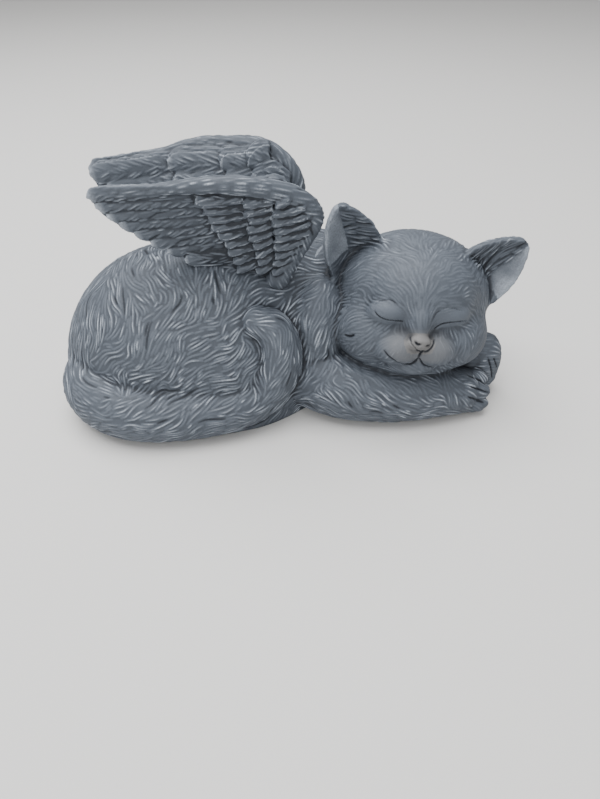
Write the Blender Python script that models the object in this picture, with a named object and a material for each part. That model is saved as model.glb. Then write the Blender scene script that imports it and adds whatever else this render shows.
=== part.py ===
"""A cast garden figure: a kitten asleep with its chin on its forelegs and two raised wings on its back.

Metres, +Z up, the flat underside on Z = 0. The kitten lies along X with its head at +X, and its face looks along -Y.
The whole figure is one casting, so it is one closed solid. Its forms are laid out in SHARE, a 120th of its length.
"""

import math

import bmesh
import bpy
import numpy as np
from mathutils import Euler, Matrix, Vector
from mathutils.bvhtree import BVHTree
from mathutils.kdtree import KDTree

# Driving sizes of the casting, in metres
FIGURE_LENGTH = 0.120
WING_THICKNESS = 0.0026
EAR_THICKNESS = 0.0022
FEATHER_STEP = 0.0009
CUT_WIDTH = 0.0011
CUT_DEPTH = 0.0007
LOCK_WIDTH = 0.0019
LOCK_DEPTH = 0.0006
LOCK_SPACING = 0.0046
LOCK_LENGTH = 0.011

# Fineness of the cast surface, in metres and in triangles
FINE_GRAIN = 0.0005
FACETS = {"wings": 3700, "head": 2200, "body": 3250}

SHARE = FIGURE_LENGTH / 120


def vec(point):
    """A point written in shares of the length, as a Vector in metres."""
    return Vector(point) * SHARE


def smooth_path(points, steps):
    """A smooth curve through the points, each with its radius as a fourth number."""
    rows = np.array(points, float)
    ends = np.vstack([2 * rows[0] - rows[1], rows, 2 * rows[-1] - rows[-2]])
    found = []
    for i in range(1, len(ends) - 2):
        a, b, c, d = ends[i - 1 : i + 3]
        for t in np.arange(steps) / steps:
            bend = 2 * a - 5 * b + 4 * c - d
            turn = -a + 3 * b - 3 * c + d
            found.append(0.5 * (2 * b + (c - a) * t + bend * t**2 + turn * t**3))
    found.append(rows[-1])
    return np.array(found)


def new_object(name, mesh):
    obj = bpy.data.objects.new(name, mesh)
    bpy.context.scene.collection.objects.link(obj)
    return obj


def ball(centre, radii, turn=(0, 0, 0), place=Matrix.Identity(4)):
    """An ellipsoid: its centre and radii in shares, turned in degrees, then moved by place."""
    mesh = bpy.data.meshes.new("ball")
    form = bmesh.new()
    bmesh.ops.create_icosphere(form, subdivisions=4, radius=1)
    turned = Euler([math.radians(angle) for angle in turn]).to_matrix().to_4x4()
    matrix = place @ Matrix.Translation(vec(centre)) @ turned @ Matrix.Diagonal((*vec(radii), 1))
    bmesh.ops.transform(form, matrix=matrix, verts=form.verts)
    form.to_mesh(mesh)
    form.free()
    return new_object("ball", mesh)


def limb(points, place=Matrix.Identity(4)):
    """A round limb along a smooth curve, each point (x, y, z, radius) in shares, with round ends."""
    path = smooth_path(points, 6)
    curve = bpy.data.curves.new("limb", "CURVE")
    curve.dimensions = "3D"
    curve.bevel_depth = SHARE
    curve.bevel_resolution = 6
    curve.use_fill_caps = True
    spline = curve.splines.new("POLY")
    spline.points.add(len(path) - 1)
    for point, row in zip(spline.points, path):
        point.co = (*vec(row[:3]), 1)
        point.radius = row[3]
    tube = new_object("limb", curve)
    tube.matrix_world = place
    bpy.context.view_layer.update()
    solid = baked(tube)
    ends = [ball(row[:3], [row[3]] * 3, place=place) for row in (path[0], path[-1])]
    return [solid, *ends]


def baked(obj):
    """The object as its modifiers leave it, as a plain mesh in world space."""
    graph = bpy.context.evaluated_depsgraph_get()
    mesh = bpy.data.meshes.new_from_object(obj.evaluated_get(graph))
    mesh.transform(obj.matrix_world)
    bpy.data.objects.remove(obj)
    return new_object("baked", mesh)


def shell(front, back):
    """A closed solid between two grids of points of the same size, joined round their rims."""
    rows, columns = front.shape[:2]
    form = bmesh.new()
    near = [[form.verts.new(front[i, j]) for j in range(columns)] for i in range(rows)]
    far = [[form.verts.new(back[i, j]) for j in range(columns)] for i in range(rows)]
    for i in range(rows - 1):
        for j in range(columns - 1):
            form.faces.new((near[i][j], near[i + 1][j], near[i + 1][j + 1], near[i][j + 1]))
            form.faces.new((far[i][j], far[i][j + 1], far[i + 1][j + 1], far[i + 1][j]))
    rim = [(i, 0) for i in range(rows)]
    rim += [(rows - 1, j) for j in range(1, columns)]
    rim += [(i, columns - 1) for i in range(rows - 2, -1, -1)]
    rim += [(0, j) for j in range(columns - 2, 0, -1)]
    for (i, j), (k, m) in zip(rim, rim[1:] + rim[:1]):
        form.faces.new((near[i][j], far[i][j], far[k][m], near[k][m]))
    bmesh.ops.recalc_face_normals(form, faces=form.faces)
    mesh = bpy.data.meshes.new("shell")
    form.to_mesh(mesh)
    form.free()
    return new_object("shell", mesh)


def fused(pieces, grain, passes):
    """All the pieces as one skin, its creases softened by that many passes of smoothing."""
    form = bmesh.new()
    for piece in pieces:
        form.from_mesh(piece.data)
        bpy.data.objects.remove(piece)
    mesh = bpy.data.meshes.new("fused")
    form.to_mesh(mesh)
    form.free()
    whole = new_object("fused", mesh)
    remesh = whole.modifiers.new("Skin", "REMESH")
    remesh.mode = "VOXEL"
    remesh.voxel_size = grain
    smooth = whole.modifiers.new("Soften", "SMOOTH")
    smooth.factor = 0.5
    smooth.iterations = passes
    return baked(whole)


# The body lies curled on its side. Its trunk is an oval that changes along the spine: centre, then half sizes.
SPINE = [
    (-32, -4.5, 4, 32, 25.5, 35), (-20, -0.5, 5, 27, 28.5, 36), (-7, 4.5, 6, 23, 25, 34),
    (8, 6.5, 6, 20, 23, 31), (20, 6, 4, 18, 20.5, 27), (32, 2, 2, 14, 19, 17),
]
# Each further form is (centre, radii, turn), in shares and degrees.
HAUNCH = [
    ((-34, -13, 13), (21, 15.5, 20), (0, 6, -4)),
    ((-21, -15, 12), (10, 9, 13), (0, 0, 0)),
    ((3.5, -9.5, 15), (9.5, 11, 19), (0, 6, 0)),
]
TAIL = [
    (-50, -9, 9, 10), (-53.5, -17, 8, 8.6), (-49, -24.5, 7.2, 7.8), (-40, -28.5, 6.6, 7.2),
    (-28, -28.2, 6.4, 6.8), (-17, -26, 6.8, 6.3), (-9.2, -23, 9.4, 5.8), (-5.4, -22, 15.6, 5.5),
    (-4.8, -21, 21.4, 5.1), (-6.8, -19.8, 26, 4.7), (-10.4, -19, 27.6, 3.9),
]
NEAR_FORELEG = [
    (3, -13.5, 9, 10), (11, -19, 8, 8.8), (23, -21, 7, 7.6), (33, -20.2, 6.6, 7), (41, -18.6, 6, 6.3),
]
FAR_FORELEG = [(26, 2, 8, 9), (36, -5, 8, 7.5), (46, -9, 10, 5.5)]
NEAR_TOES = [
    ((44.8, -21, 3.4), (5, 2.2, 2.6), (0, 0, 0)),
    ((44.6, -20, 7), (5.4, 2.3, 2.4), (0, 4, 2)),
    ((44.4, -16.8, 8.8), (5.2, 2.5, 2.2), (0, 4, 0)),
    ((45.2, -16, 4.8), (4.6, 3.4, 3.8), (0, 0, 0)),
]
FAR_PAW = [((48.8, -9.6, 8.6), (5.4, 5.2, 9), (0, 6, 0))]
FAR_TOES = [
    ((50.2, -12.4, 5.6), (2.9, 2.1, 4), (0, 14, 0)),
    ((51, -9.4, 5), (3, 2.1, 4.2), (0, 14, 0)),
    ((50.2, -6.4, 4.8), (2.9, 2.1, 4), (0, 14, 0)),
]

# The head in its own frame: the face looks along -Y. It is tipped back a little and rolled to its left.
HEAD_CENTRE = (29, -8, 26)
HEAD_REACH = 24
HEAD_TIP = (-14, 5, 0)
SKULL = [
    ((-0.4, 2.5, 1.8), (19.7, 17, 16), (0, 0, 0)),
    ((0, -5, 4), (14.5, 12, 11.5), (0, 0, 0)),
]
LEFT_CHEEK = [((-9.8, -4.2, -5.2), (11, 11.5, 9.3), (0, 0, 0)), ((-13, 1, -6), (8, 10, 7.5), (0, 0, 0))]
RIGHT_CHEEK = [((9, -4.2, -5.2), (9.6, 11.5, 9), (0, 0, 0)), ((11, 1, -5.4), (7.3, 10, 7.2), (0, 0, 0))]
# The face has a frame of its own, set a little to one side of the skull's
FACE_CENTRE = (27.8, -8, 25.2)
FACE_TIP = (-14, 2.6, 0)
MUZZLE = [((4.4, -14, -5.8), (5.6, 5, 4.2), (0, 10, 0))]
LIDS = [((7.8, -13.4, 2.7), (4.5, 2.9, 2.9), (0, 4, 14))]
BRIDGE = [((0, -13.2, 0.8), (3.4, 5.6, 6), (30, 0, 0)), ((0, -12, -10.4), (6.4, 4.4, 3), (0, 0, 0))]
NOSE = [((0, -18.6, -2.9), (2.7, 1.7, 1.7), (24, 0, 0))]
# What is cut into the face, each a line of (x, z) in its frame: the closed lids, the mouth and the nostrils
FACE_CUTS = [
    [(-10.8, 1.9), (-8.6, 1.1), (-6.2, 0.9), (-4, 1.4)],
    [(4, 0.8), (6.2, 0.9), (8.6, 1.3), (10.8, 1.7)],
    [(0, -4.9), (-0.1, -6.6), (-2.6, -8), (-5.4, -7.7), (-7.6, -6.2)],
    [(0, -6.4), (1.4, -8), (3.8, -8.6)],
    [(-1.3, -3.2), (-1, -3.6)],
    [(1, -3.6), (1.3, -3.2)],
]
# Each ear: the middle of its base, its tip, how far its base spreads each side, and which way it opens
LEFT_EAR = {"base": (13.2, -5, 38.5), "tip": (8.8, -6, 51), "spread": 7.2, "opens": (0.25, -1, 0.1)}
RIGHT_EAR = {"base": (44.6, -7, 33.2), "tip": (55, -6, 41.6), "spread": 7.8, "opens": (-0.05, -1, 0.05)}


def ear(base, tip, spread, opens):
    """A cupped, pointed ear, its rims bowed outwards and its hollow facing the way it opens."""
    start, end = np.array(base, float), np.array(tip, float)
    rise = end - start
    height = np.linalg.norm(rise)
    rise /= height
    forward = np.array(opens, float)
    forward -= rise * (forward @ rise)
    forward /= np.linalg.norm(forward)
    across = np.cross(rise, forward)
    half = EAR_THICKNESS / SHARE / 2
    front, back = [], []
    for s in np.linspace(-0.35, 1, 16):
        half_width = spread * (1 - max(s, 0) ** 1.9) ** 0.85 + 0.9 * max(s, 0)
        cup = 3.6 * (1 - max(s, 0) ** 1.5) + 0.4
        rows = []
        for t in np.linspace(-1, 1, 13):
            middle = start + rise * height * s + across * half_width * t + forward * cup * (t * t - 0.75)
            thick = half * (1.35 - 0.35 * s)
            rows.append((middle + forward * thick, middle - forward * thick))
        front.append([a * SHARE for a, b in rows])
        back.append([b * SHARE for a, b in rows])
    return shell(np.array(front), np.array(back))


# The wings, in wing space: x along the body, w outwards from the plane between them, z up, all in shares
WING_PLANE = -5.5
FAR_WING_SHIFT = -4.0
FAR_WRIST_RISE = 3.0
FAR_WRIST_SPREAD = 4.4
ROOT_HEIGHT = 38
RIM_HEIGHT = 60.5
WING_RIM = [
    (2.6, 50), (2, 55), (-2.4, 58.4), (-9, 60.6), (-16, 61.4), (-23, 60.8), (-31, 59), (-39, 57.3), (-45.4, 56),
]
WING_LOWER = [
    (-5, 34), (-11, 34), (-17, 35), (-24, 38), (-30, 43.4), (-35, 46.4), (-40, 48.8), (-43.6, 52), (-45.4, 55.4),
]
ARM = [
    (-5.4, 35, 3.2), (-2, 41.5, 3), (1, 47, 2.9), (2.8, 51.6, 2.7), (0.2, 55.6, 2.6), (-5.4, 58.6, 2.3),
    (-13, 60.8, 1.9), (-21, 60.6, 1.6), (-30, 58.8, 1.2), (-41, 56.8, 0.9),
]


def wing_sweep(x, z):
    """How far the middle of the wing stands out from the plane between the wings. It curls out near its rim."""
    climb = np.clip((z - ROOT_HEIGHT) / (RIM_HEIGHT - ROOT_HEIGHT), -0.2, 1.2)
    curl = np.exp(-(((x + 18) / 22) ** 2))
    return 4.6 + 2.9 * climb + 5 * np.abs(climb) ** 2.6 * curl


def wing_frame(x, z):
    """The middle of the wing at (x, z) in wing space, and its outward normal."""
    step = 0.2
    w = wing_sweep(x, z)
    slope_x = (wing_sweep(x + step, z) - wing_sweep(x - step, z)) / (2 * step)
    slope_z = (wing_sweep(x, z + step) - wing_sweep(x, z - step)) / (2 * step)
    normal = np.array([-slope_x, 1.0, -slope_z])
    return np.array([x, w, z]), normal / np.linalg.norm(normal)


def wing_thickness(x):
    """Half the thickness of the plate, which thins from the wrist to the tip."""
    along = np.clip(-x / 46, 0, 1)
    return WING_THICKNESS / SHARE / 2 * (1.35 - 0.75 * along)


def front_edge(z):
    """Where the arm stands, in x, at a height z in wing space."""
    heights = [row[1] for row in ARM]
    return np.interp(z, heights[:7], [row[0] for row in ARM[:7]])


def feather(base, tip, width, lift, side):
    """A blade lying on one face of the wing, from base to tip in (x, z): round-ended, arched and lifted at its tip."""
    start, end = np.array(base, float), np.array(tip, float)
    along = end - start
    length = np.linalg.norm(along)
    along /= length
    across = np.array([-along[1], along[0]])
    step = FEATHER_STEP / SHARE
    top, bottom = [], []
    for s in np.linspace(0, 1, 11):
        reach = (1 - s**5) ** 0.5 if s < 1 else 0.06
        half_width = width / 2 * (0.72 + 0.28 * min(1, 3 * s)) * max(reach, 0.06)
        over, under = [], []
        for t in np.linspace(-1, 1, 7):
            x, z = start + along * length * s + across * half_width * t
            place, normal = wing_frame(x, z)
            arch = 1.25 - 1.2 * t * t + 0.35 * t
            rise = wing_thickness(x) + lift * step + step * (0.1 + 1.1 * s) * arch
            over.append(place + side * normal * max(rise, 0.3))
            under.append(place + side * normal * wing_thickness(x) * 0.2)
        top.append(over)
        bottom.append(under)
    return np.array(top), np.array(bottom)


def blades():
    """Every feather of one wing as (base, tip, width, lift, side). Side 1 is the hollow outer face."""
    found = []
    # Flight feathers fan across the outer face, from the coverts to the trailing edge.
    for j in range(9):
        k = j / 8
        base = (-17.5 - 2 * (1 - k) ** 2, 59.6 - 18 * k)
        tip = (-46 + 19 * k**1.45, 56.4 - 16 * k**0.95)
        found.append((base, tip, 4.4 - 1.2 * abs(k - 0.5), 0.1, 1))
    # Small coverts in columns behind the arm, on the outer face.
    for column, (top_x, low_x, rows) in enumerate(((-20.5, -17, 8), (-13, -12.6, 7), (-6.5, -9.4, 7))):
        for j in range(rows):
            k = (j + 0.5) / rows
            z = 58.2 - 19.5 * k
            x = top_x + (low_x - top_x) * k
            found.append(((x + 6.5, z + 0.8), (x, z - 0.8 * k), 3.1, 0.5 + 0.55 * column, 1))
    # Long feathers and three tiers of coverts on the inner face.
    for j in range(6):
        k = j / 5
        found.append(((-22, 59 - 14 * k), (-46 + 14 * k**1.3, 56.2 - 12 * k), 4.2, 0.1, -1))
    for tier, (top_x, low_x, length) in enumerate(((-28, -24.5, 13), (-15.5, -11.5, 11), (-8, -5.5, 9))):
        for j in range(7):
            k = j / 6
            z = 60.2 - 19 * k
            x = top_x + (low_x - top_x) * k
            base = min(x + length, front_edge(z) - 0.6)
            if base - x > 3:
                found.append(((base, z - 0.3), (x, z), 3.9, 0.5 + 0.6 * tier, -1))
    return found


def to_world(points, hand):
    """Points of wing space in metres: hand -1 is the near wing and 1 the far one, whose wrist stands higher."""
    placed = np.array(points, float)
    if hand > 0:
        near_wrist = np.exp(-(((placed[..., 0] + 2.5) / FAR_WRIST_SPREAD) ** 2))
        near_wrist *= np.clip((placed[..., 2] - 46) / 12, 0, 1)
        placed[..., 2] += FAR_WRIST_RISE * near_wrist
        placed[..., 0] += FAR_WING_SHIFT
    placed[..., 1] = WING_PLANE + hand * placed[..., 1]
    return placed * SHARE


def wing(hand):
    """One wing: a thin curled plate, a round arm and rim, and its feathers."""
    rim = smooth_path(WING_RIM, 5)
    lower = smooth_path(WING_LOWER, 5)
    faces = {1: [], -1: []}
    for (x0, z0), (x1, z1) in zip(lower, rim):
        for side in faces:
            row = []
            for v in np.linspace(0, 1, 14):
                x, z = x0 + (x1 - x0) * v, z0 + (z1 - z0) * v
                place, normal = wing_frame(x, z)
                row.append(place + side * normal * wing_thickness(x))
            faces[side].append(row)
    pieces = [shell(to_world(faces[1], hand), to_world(faces[-1], hand))]
    arm = []
    for x, z, radius in ARM:
        place, normal = wing_frame(x, z)
        arm.append((*to_world(place + normal * 0.3 * radius, hand) / SHARE, radius))
    pieces += limb(arm)
    for blade in blades():
        top, bottom = feather(*blade)
        pieces.append(shell(to_world(top, hand), to_world(bottom, hand)))
    return pieces


def frame_at(centre, tip):
    """The frame of a form: its origin in shares and its turn in degrees."""
    turn = Euler([math.radians(angle) for angle in tip]).to_matrix().to_4x4()
    return Matrix.Translation(vec(centre)) @ turn


def paired(forms, place):
    """Forms on the head's right, and their mirror images on its left."""
    made = []
    for centre, radii, turn in forms:
        made.append(ball(centre, radii, turn, place))
        mirrored = (-centre[0], centre[1], centre[2])
        made.append(ball(mirrored, radii, (turn[0], -turn[1], -turn[2]), place))
    return made


def head():
    """The skull and cheeks, the soft muzzle, then the crisper lids and nose."""
    place = frame_at(HEAD_CENTRE, HEAD_TIP)
    front = frame_at(FACE_CENTRE, FACE_TIP)
    skull = fused([ball(*form, place) for form in SKULL + LEFT_CHEEK + RIGHT_CHEEK], 2 * FINE_GRAIN, 12)
    muzzle = fused([skull, *[ball(*form, front) for form in BRIDGE], *paired(MUZZLE, front)], FINE_GRAIN, 14)
    return fused([muzzle, *paired(LIDS, front), *[ball(*form, front) for form in NOSE]], FINE_GRAIN, 4)


# From here back the coat is plainer, with shallower locks
BACK_FROM = 10

# Which way the fur lies: (place, direction), both in shares. Between them the direction is blended.
FUR = [
    ((-50, -8, 33), (-0.5, -0.3, -0.8)), ((-61, -6, 16), (-0.1, -0.3, -1)), ((-36, -12, 39), (-0.2, -0.6, -0.7)),
    ((-44, -22, 28), (0, -0.3, -1)), ((-36, -27, 24), (-0.5, 0, -0.9)), ((-28, -25, 30), (0.3, -0.2, -0.9)),
    ((-24, -27, 22), (0.9, 0, 0.3)), ((-32, -28, 16), (0.8, 0, -0.5)), ((-44, -25, 15), (0.6, -0.2, -0.8)),
    ((-18, -24, 32), (0.2, -0.4, -0.9)), ((-15, -24, 16), (0.9, 0, 0.2)), ((-8, -20, 33), (0.4, -0.3, -0.8)),
    ((2, -22, 30), (0.3, -0.4, -0.9)), ((6, -24, 18), (0.1, -0.2, -1)), ((4, -8, 37), (0.9, 0, -0.3)),
    ((-30, 22, 28), (-0.6, 0.3, -0.7)), ((-50, 12, 22), (-0.7, 0.3, -0.6)), ((-8, 28, 20), (-0.6, 0.2, -0.8)),
    ((0, 14, 37), (-0.6, 0.6, -0.5)), ((20, 22, 16), (-0.4, 0.2, -0.9)), ((-24, 6, 41), (-0.9, 0.3, -0.1)),
    ((28, -24, 37), (0, 0.3, 1)), ((20, -20, 37), (-0.6, 0.2, 0.8)), ((37, -20, 36), (0.6, 0.2, 0.8)),
    ((29, -8, 43), (0, 0.9, 0.2)), ((29, 9, 36), (0, 0.6, -0.8)), ((11, -14, 30), (-0.7, 0.3, -0.2)),
    ((47, -14, 28), (0.7, 0.3, -0.2)), ((13, -21, 22), (-0.7, 0, -0.7)), ((44, -20, 21), (0.6, 0, -0.8)),
    ((20, -25, 17), (-0.3, 0, -1)), ((36, -25, 16), (0.2, 0, -1)),
]


def limb_flow(points):
    """Guides along a limb, each with the limb's radius, so that its fur runs to its end."""
    path = smooth_path(points, 3)
    return [(a[:3], b[:3] - a[:3], a[3]) for a, b in zip(path, path[1:])]


def flow_guides():
    guides = [(np.array(place), np.array(way), 0) for place, way in FUR]
    guides += limb_flow(TAIL) + limb_flow(NEAR_FORELEG) + limb_flow(FAR_FORELEG)
    places = np.array([guide[0] for guide in guides], float) * SHARE
    ways = np.array([guide[1] / np.linalg.norm(guide[1]) for guide in guides])
    reach = np.array([guide[2] for guide in guides], float) * SHARE
    return places, ways, reach


def flow_at(point, normal, guides):
    """The way the fur lies at a point of the surface."""
    places, ways, reach = guides
    gap = np.maximum(np.linalg.norm(places - point, axis=1) - reach, SHARE)
    way = (ways / gap[:, None] ** 4).sum(axis=0)
    way -= normal * (way @ normal)
    return way / max(np.linalg.norm(way), 1e-12)


def traced(tree, start, guides, length):
    """A line on the surface that follows the fur, through its starting point in the middle."""
    step = length / 12
    halves = []
    for sign in (-1, 1):
        point, normal = start
        half = []
        for _ in range(6):
            ahead = np.array(point) + sign * step * flow_at(np.array(point), np.array(normal), guides)
            point, normal, _, _ = tree.find_nearest(Vector(ahead))
            half.append(np.array(point))
        halves.append(half)
    return halves[0][::-1] + [np.array(start[0])] + halves[1]


def on_head(point):
    return (point - vec(HEAD_CENTRE)).length < HEAD_REACH * SHARE


def has_fur(point):
    """True where locks are cut: not on the muzzle, the lids, the ears, the paws' ends or close to the ground."""
    x, y, z = np.array(point) / SHARE
    face = frame_at(FACE_CENTRE, FACE_TIP).inverted() @ Vector(point)
    u, v, w = np.array(face) / SHARE
    bare = v < -9 and (u / 13.5) ** 2 + ((w + 3) / 10.5) ** 2 < 1
    paw = x > 43 and z < 17
    ear_base = z > 36 and (x < 20 or x > 40) and x > 4
    return not (bare or paw or ear_base or z < 3)


def locks(surface):
    """Lines of fur all over the coat, about LOCK_SPACING apart, as (points, width, depth)."""
    tree = BVHTree.FromObject(surface, bpy.context.evaluated_depsgraph_get())
    guides = flow_guides()
    order = np.random.default_rng(5).permutation(len(surface.data.vertices))
    chosen = []
    lines = []
    for index in order[: len(order) // 8]:
        place = surface.data.vertices[index].co
        if not has_fur(place):
            continue
        if chosen and np.linalg.norm(np.array(chosen) - place, axis=1).min() < LOCK_SPACING:
            continue
        chosen.append(np.array(place))
        point, normal, _, _ = tree.find_nearest(place)
        line = traced(tree, (point, normal), guides, LOCK_LENGTH)
        shallow = place.y > BACK_FROM * SHARE or on_head(place)
        lines.append((line, LOCK_WIDTH, LOCK_DEPTH * (0.6 if shallow else 1)))
    return lines


def face_lines(surface):
    """The lines cut in the face, laid on its surface, as (points, width, depth)."""
    tree = BVHTree.FromObject(surface, bpy.context.evaluated_depsgraph_get())
    front = frame_at(FACE_CENTRE, FACE_TIP)
    ahead = front.to_3x3() @ Vector((0, 1, 0))
    lines = []
    for cut in FACE_CUTS:
        found = []
        for x, z in smooth_path(cut, 6):
            hit = tree.ray_cast(front @ vec((x, -40, z)), ahead)[0]
            if hit is not None:
                found.append(np.array(hit))
        lines.append((found, CUT_WIDTH, CUT_DEPTH))
    return lines


def carved(solid, lines):
    """Each line pressed into the surface as a round-bottomed groove that runs out at both ends."""
    samples = []
    for points, width, depth in lines:
        for i, (a, b) in enumerate(zip(points, points[1:])):
            for t in (0, 0.34, 0.67):
                along = (i + t) / (len(points) - 1)
                samples.append((a + (b - a) * t, width, depth * math.sin(math.pi * (0.08 + 0.84 * along)) ** 0.6))
    tree = KDTree(len(samples))
    for i, (point, width, depth) in enumerate(samples):
        tree.insert(point, i)
    tree.balance()
    moved = []
    for vertex in solid.data.vertices:
        point, i, gap = tree.find(vertex.co)
        width, depth = samples[i][1:]
        if gap < width / 2:
            fall = 1 - (2 * gap / width) ** 2
            moved.append((vertex.index, vertex.co - vertex.normal * depth * fall))
    for index, place in moved:
        solid.data.vertices[index].co = place
    return solid


def figure():
    """The whole kitten as one skin."""
    trunk = [ball(row[:3], row[3:]) for row in smooth_path(SPINE, 4)]
    torso = fused(trunk, 2 * FINE_GRAIN, 10)
    limbs = fused([torso, *[ball(*form) for form in HAUNCH]], 2 * FINE_GRAIN, 10)
    pieces = [limbs, head(), ear(**LEFT_EAR), ear(**RIGHT_EAR)]
    pieces += limb(TAIL) + limb(NEAR_FORELEG) + limb(FAR_FORELEG)
    pieces += [ball(*form) for form in NEAR_TOES + FAR_PAW + FAR_TOES]
    coat = fused(pieces, FINE_GRAIN, 4)
    lines = face_lines(coat) + locks(coat)
    tree = BVHTree.FromObject(coat, bpy.context.evaluated_depsgraph_get())
    whole = thinned(carved(fused([coat, *wing(-1), *wing(1)], FINE_GRAIN, 1), lines), 4 * sum(FACETS.values()))
    for name, faces in FACETS.items():
        part = []
        for vertex in whole.data.vertices:
            clear_of_coat = tree.find_nearest(vertex.co)[3] > 1.6 * FINE_GRAIN
            region = "wings" if clear_of_coat else "head" if on_head(vertex.co) else "body"
            if region == name:
                part.append(vertex.index)
        whole = thinned(whole, faces, part)
    return whole


def flatten_underside(mesh):
    """Everything below the ground plane is pressed flat on it."""
    places = np.empty(len(mesh.vertices) * 3)
    mesh.vertices.foreach_get("co", places)
    places[2::3] = np.maximum(places[2::3], 0)
    mesh.vertices.foreach_set("co", places)
    mesh.update()


def thinned(solid, faces, part=None):
    """The solid with its surface, or only the surface on the given vertices, brought down to so many triangles.

    The reduction loses its sense of shape on very small numbers, so it works in thousandths of a metre.
    """
    thousand = 1000
    solid.data.transform(Matrix.Scale(thousand, 4))
    solid.scale = [1 / thousand] * 3
    if part is None:
        smooth = solid.modifiers.new("Soften", "SMOOTH")
        smooth.factor = 0.5
        smooth.iterations = 2
    thin = solid.modifiers.new("Facets", "DECIMATE")
    kept = 0
    if part is not None:
        solid.vertex_groups.clear()
        solid.vertex_groups.new(name="thinned").add(part, 1, "REPLACE")
        thin.vertex_group = "thinned"
        thin.vertex_group_factor = 1
        inside = set(part)
        kept = sum(len(face.vertices) - 2 for face in solid.data.polygons if not inside.issuperset(face.vertices))
    thin.ratio = (kept + faces) / sum(len(face.vertices) - 2 for face in solid.data.polygons)
    bpy.context.view_layer.update()
    return baked(solid)


def resin():
    material = bpy.data.materials.new("grey_resin")
    material.use_nodes = True
    shader = material.node_tree.nodes["Principled BSDF"]
    shader.inputs["Base Color"].default_value = (0.16, 0.18, 0.21, 1)
    shader.inputs["Roughness"].default_value = 0.7
    shader.inputs["Metallic"].default_value = 0
    return material


def main():
    for obj in list(bpy.data.objects):
        bpy.data.objects.remove(obj)
    cat = figure()
    cat.name = "winged_sleeping_kitten"
    flatten_underside(cat.data)
    cat.data.materials.clear()
    cat.data.materials.append(resin())
    cat.data.shade_smooth()
    cat.data.set_sharp_from_angle(angle=math.radians(50))


main()
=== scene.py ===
# A kitten asleep under its wings, cast in grey resin: the carved fur, the feathers, the face and the paint
import math

import bmesh
import bpy
import numpy as np
from mathutils import Euler, Matrix, Vector, noise
from mathutils.bvhtree import BVHTree
from mathutils.kdtree import KDTree


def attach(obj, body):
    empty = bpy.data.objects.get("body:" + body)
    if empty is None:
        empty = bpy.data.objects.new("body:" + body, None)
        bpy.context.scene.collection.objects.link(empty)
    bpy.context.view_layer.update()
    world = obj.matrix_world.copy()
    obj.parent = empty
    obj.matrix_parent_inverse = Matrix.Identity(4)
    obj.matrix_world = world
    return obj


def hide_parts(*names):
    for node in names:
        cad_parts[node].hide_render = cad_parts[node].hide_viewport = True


print("kitten: loading the frame")
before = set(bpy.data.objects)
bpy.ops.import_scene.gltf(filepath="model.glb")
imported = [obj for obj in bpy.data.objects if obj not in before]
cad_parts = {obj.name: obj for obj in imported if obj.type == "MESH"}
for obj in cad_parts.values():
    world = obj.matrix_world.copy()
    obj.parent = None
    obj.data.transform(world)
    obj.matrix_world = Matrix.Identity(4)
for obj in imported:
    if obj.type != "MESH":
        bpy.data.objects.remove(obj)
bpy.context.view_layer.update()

# The casting is modelled in millimetres and scaled down at the end
mm = 0.001
casting = {
    "node": "winged_sleeping_kitten",
    "slot": "grey_resin",
    "grain": 0.25,  # between the points of the finished coat
    "wingGrain": 0.25,
    "mostTriangles": 185000,  # in one piece
    "seams": (-30, -3, 22),  # where the coat is cut across into four pieces, in x
    # The grain and the softening passes of the skins that the coat is built up from
    "skins": {"trunk": (1, 10), "skull": (1, 12), "muzzle": (0.5, 14), "face": (0.5, 4), "joined": (0.5, 3)},
    "coatPasses": 5, "wingPasses": 2, "hollowPasses": 30,
    "endless": 1000,  # beyond any part of the casting, in x
    "footing": 0.3,  # below this height the coat is flat
}

# The photograph's camera: its tilt up from straight down, where it stands, and its lens for a 36 mm frame
view = {
    "tilt": 49.3, "place": (0, -140.6, 107.5), "lens": 27.03, "frame": 36,
    "width": 600, "height": 799, "focal": 600,  # in pixels
}

# The paint: grey resin, dry-brushed pale on its ridges, and painted shade in the deep colour that darkens its
# hollows, grooves, cuts and recesses
paint = {
    "base": (0.084, 0.098, 0.120), "deep": (0.010, 0.013, 0.019), "pale": (0.48, 0.53, 0.60),
    "bare": (0.140, 0.139, 0.140), "specular": 0.35,
    "plain": 0.42, "full": 0.88,  # the ridge values at which the dry-brushing starts and is at its most
    "faceBrushAndShade": 0.7, "flapBrush": 0.66,  # how strongly the face and the flaps of the ears are dry-brushed; the face less, both for its dense fine fur and as painted shade
    "flapShelter": 0.4, "barbBrush": 0.85,
    # Painted shade at the root of a feather, under the one that overlaps it: how far along it reaches, how
    # deep it lies, then its soft edge
    "rootShade": {"flight": (0.3, 0.07), "tongue": (0.85, 0.19), "broad": (0.5, 0.03)},
    "rootShadeFade": 0.35,
    # What each of these does to the brushing and the painted shade: between which values, from what to what
    "brushing": {"patches": (0.36, 0.66, 0.25, 1), "grain": (0.3, 0.7, 0.45, 1), "shelter": (0.2, 0.6, 1, 0)},
    "shadePainting": {
        "shelter": (0.22, 0.75, 0, 0.85), "ridge": (-0.5, 0.3, 0.8, 0), "hollow": (0, 0.17, 0, 0.9),
        "cut": (0.15, 0.6, 0, 0.95),
    },
    "bareness": (0.1, 0.9), "roughness": (0.3, 0.7, 0.55, 0.75),
    "patchScale": 160, "grainScale": 2600, "poreScale": 3500, "poreStrength": 0.25, "poreDepth": 0.00005,
}


def newPiece(name, mesh):
    piece = bpy.data.objects.new(name, mesh)
    bpy.context.scene.collection.objects.link(piece)
    return piece


def baked(piece):
    graph = bpy.context.evaluated_depsgraph_get()
    mesh = bpy.data.meshes.new_from_object(piece.evaluated_get(graph))
    mesh.transform(piece.matrix_world)
    bpy.data.objects.remove(piece)
    return newPiece("baked", mesh)


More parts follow.
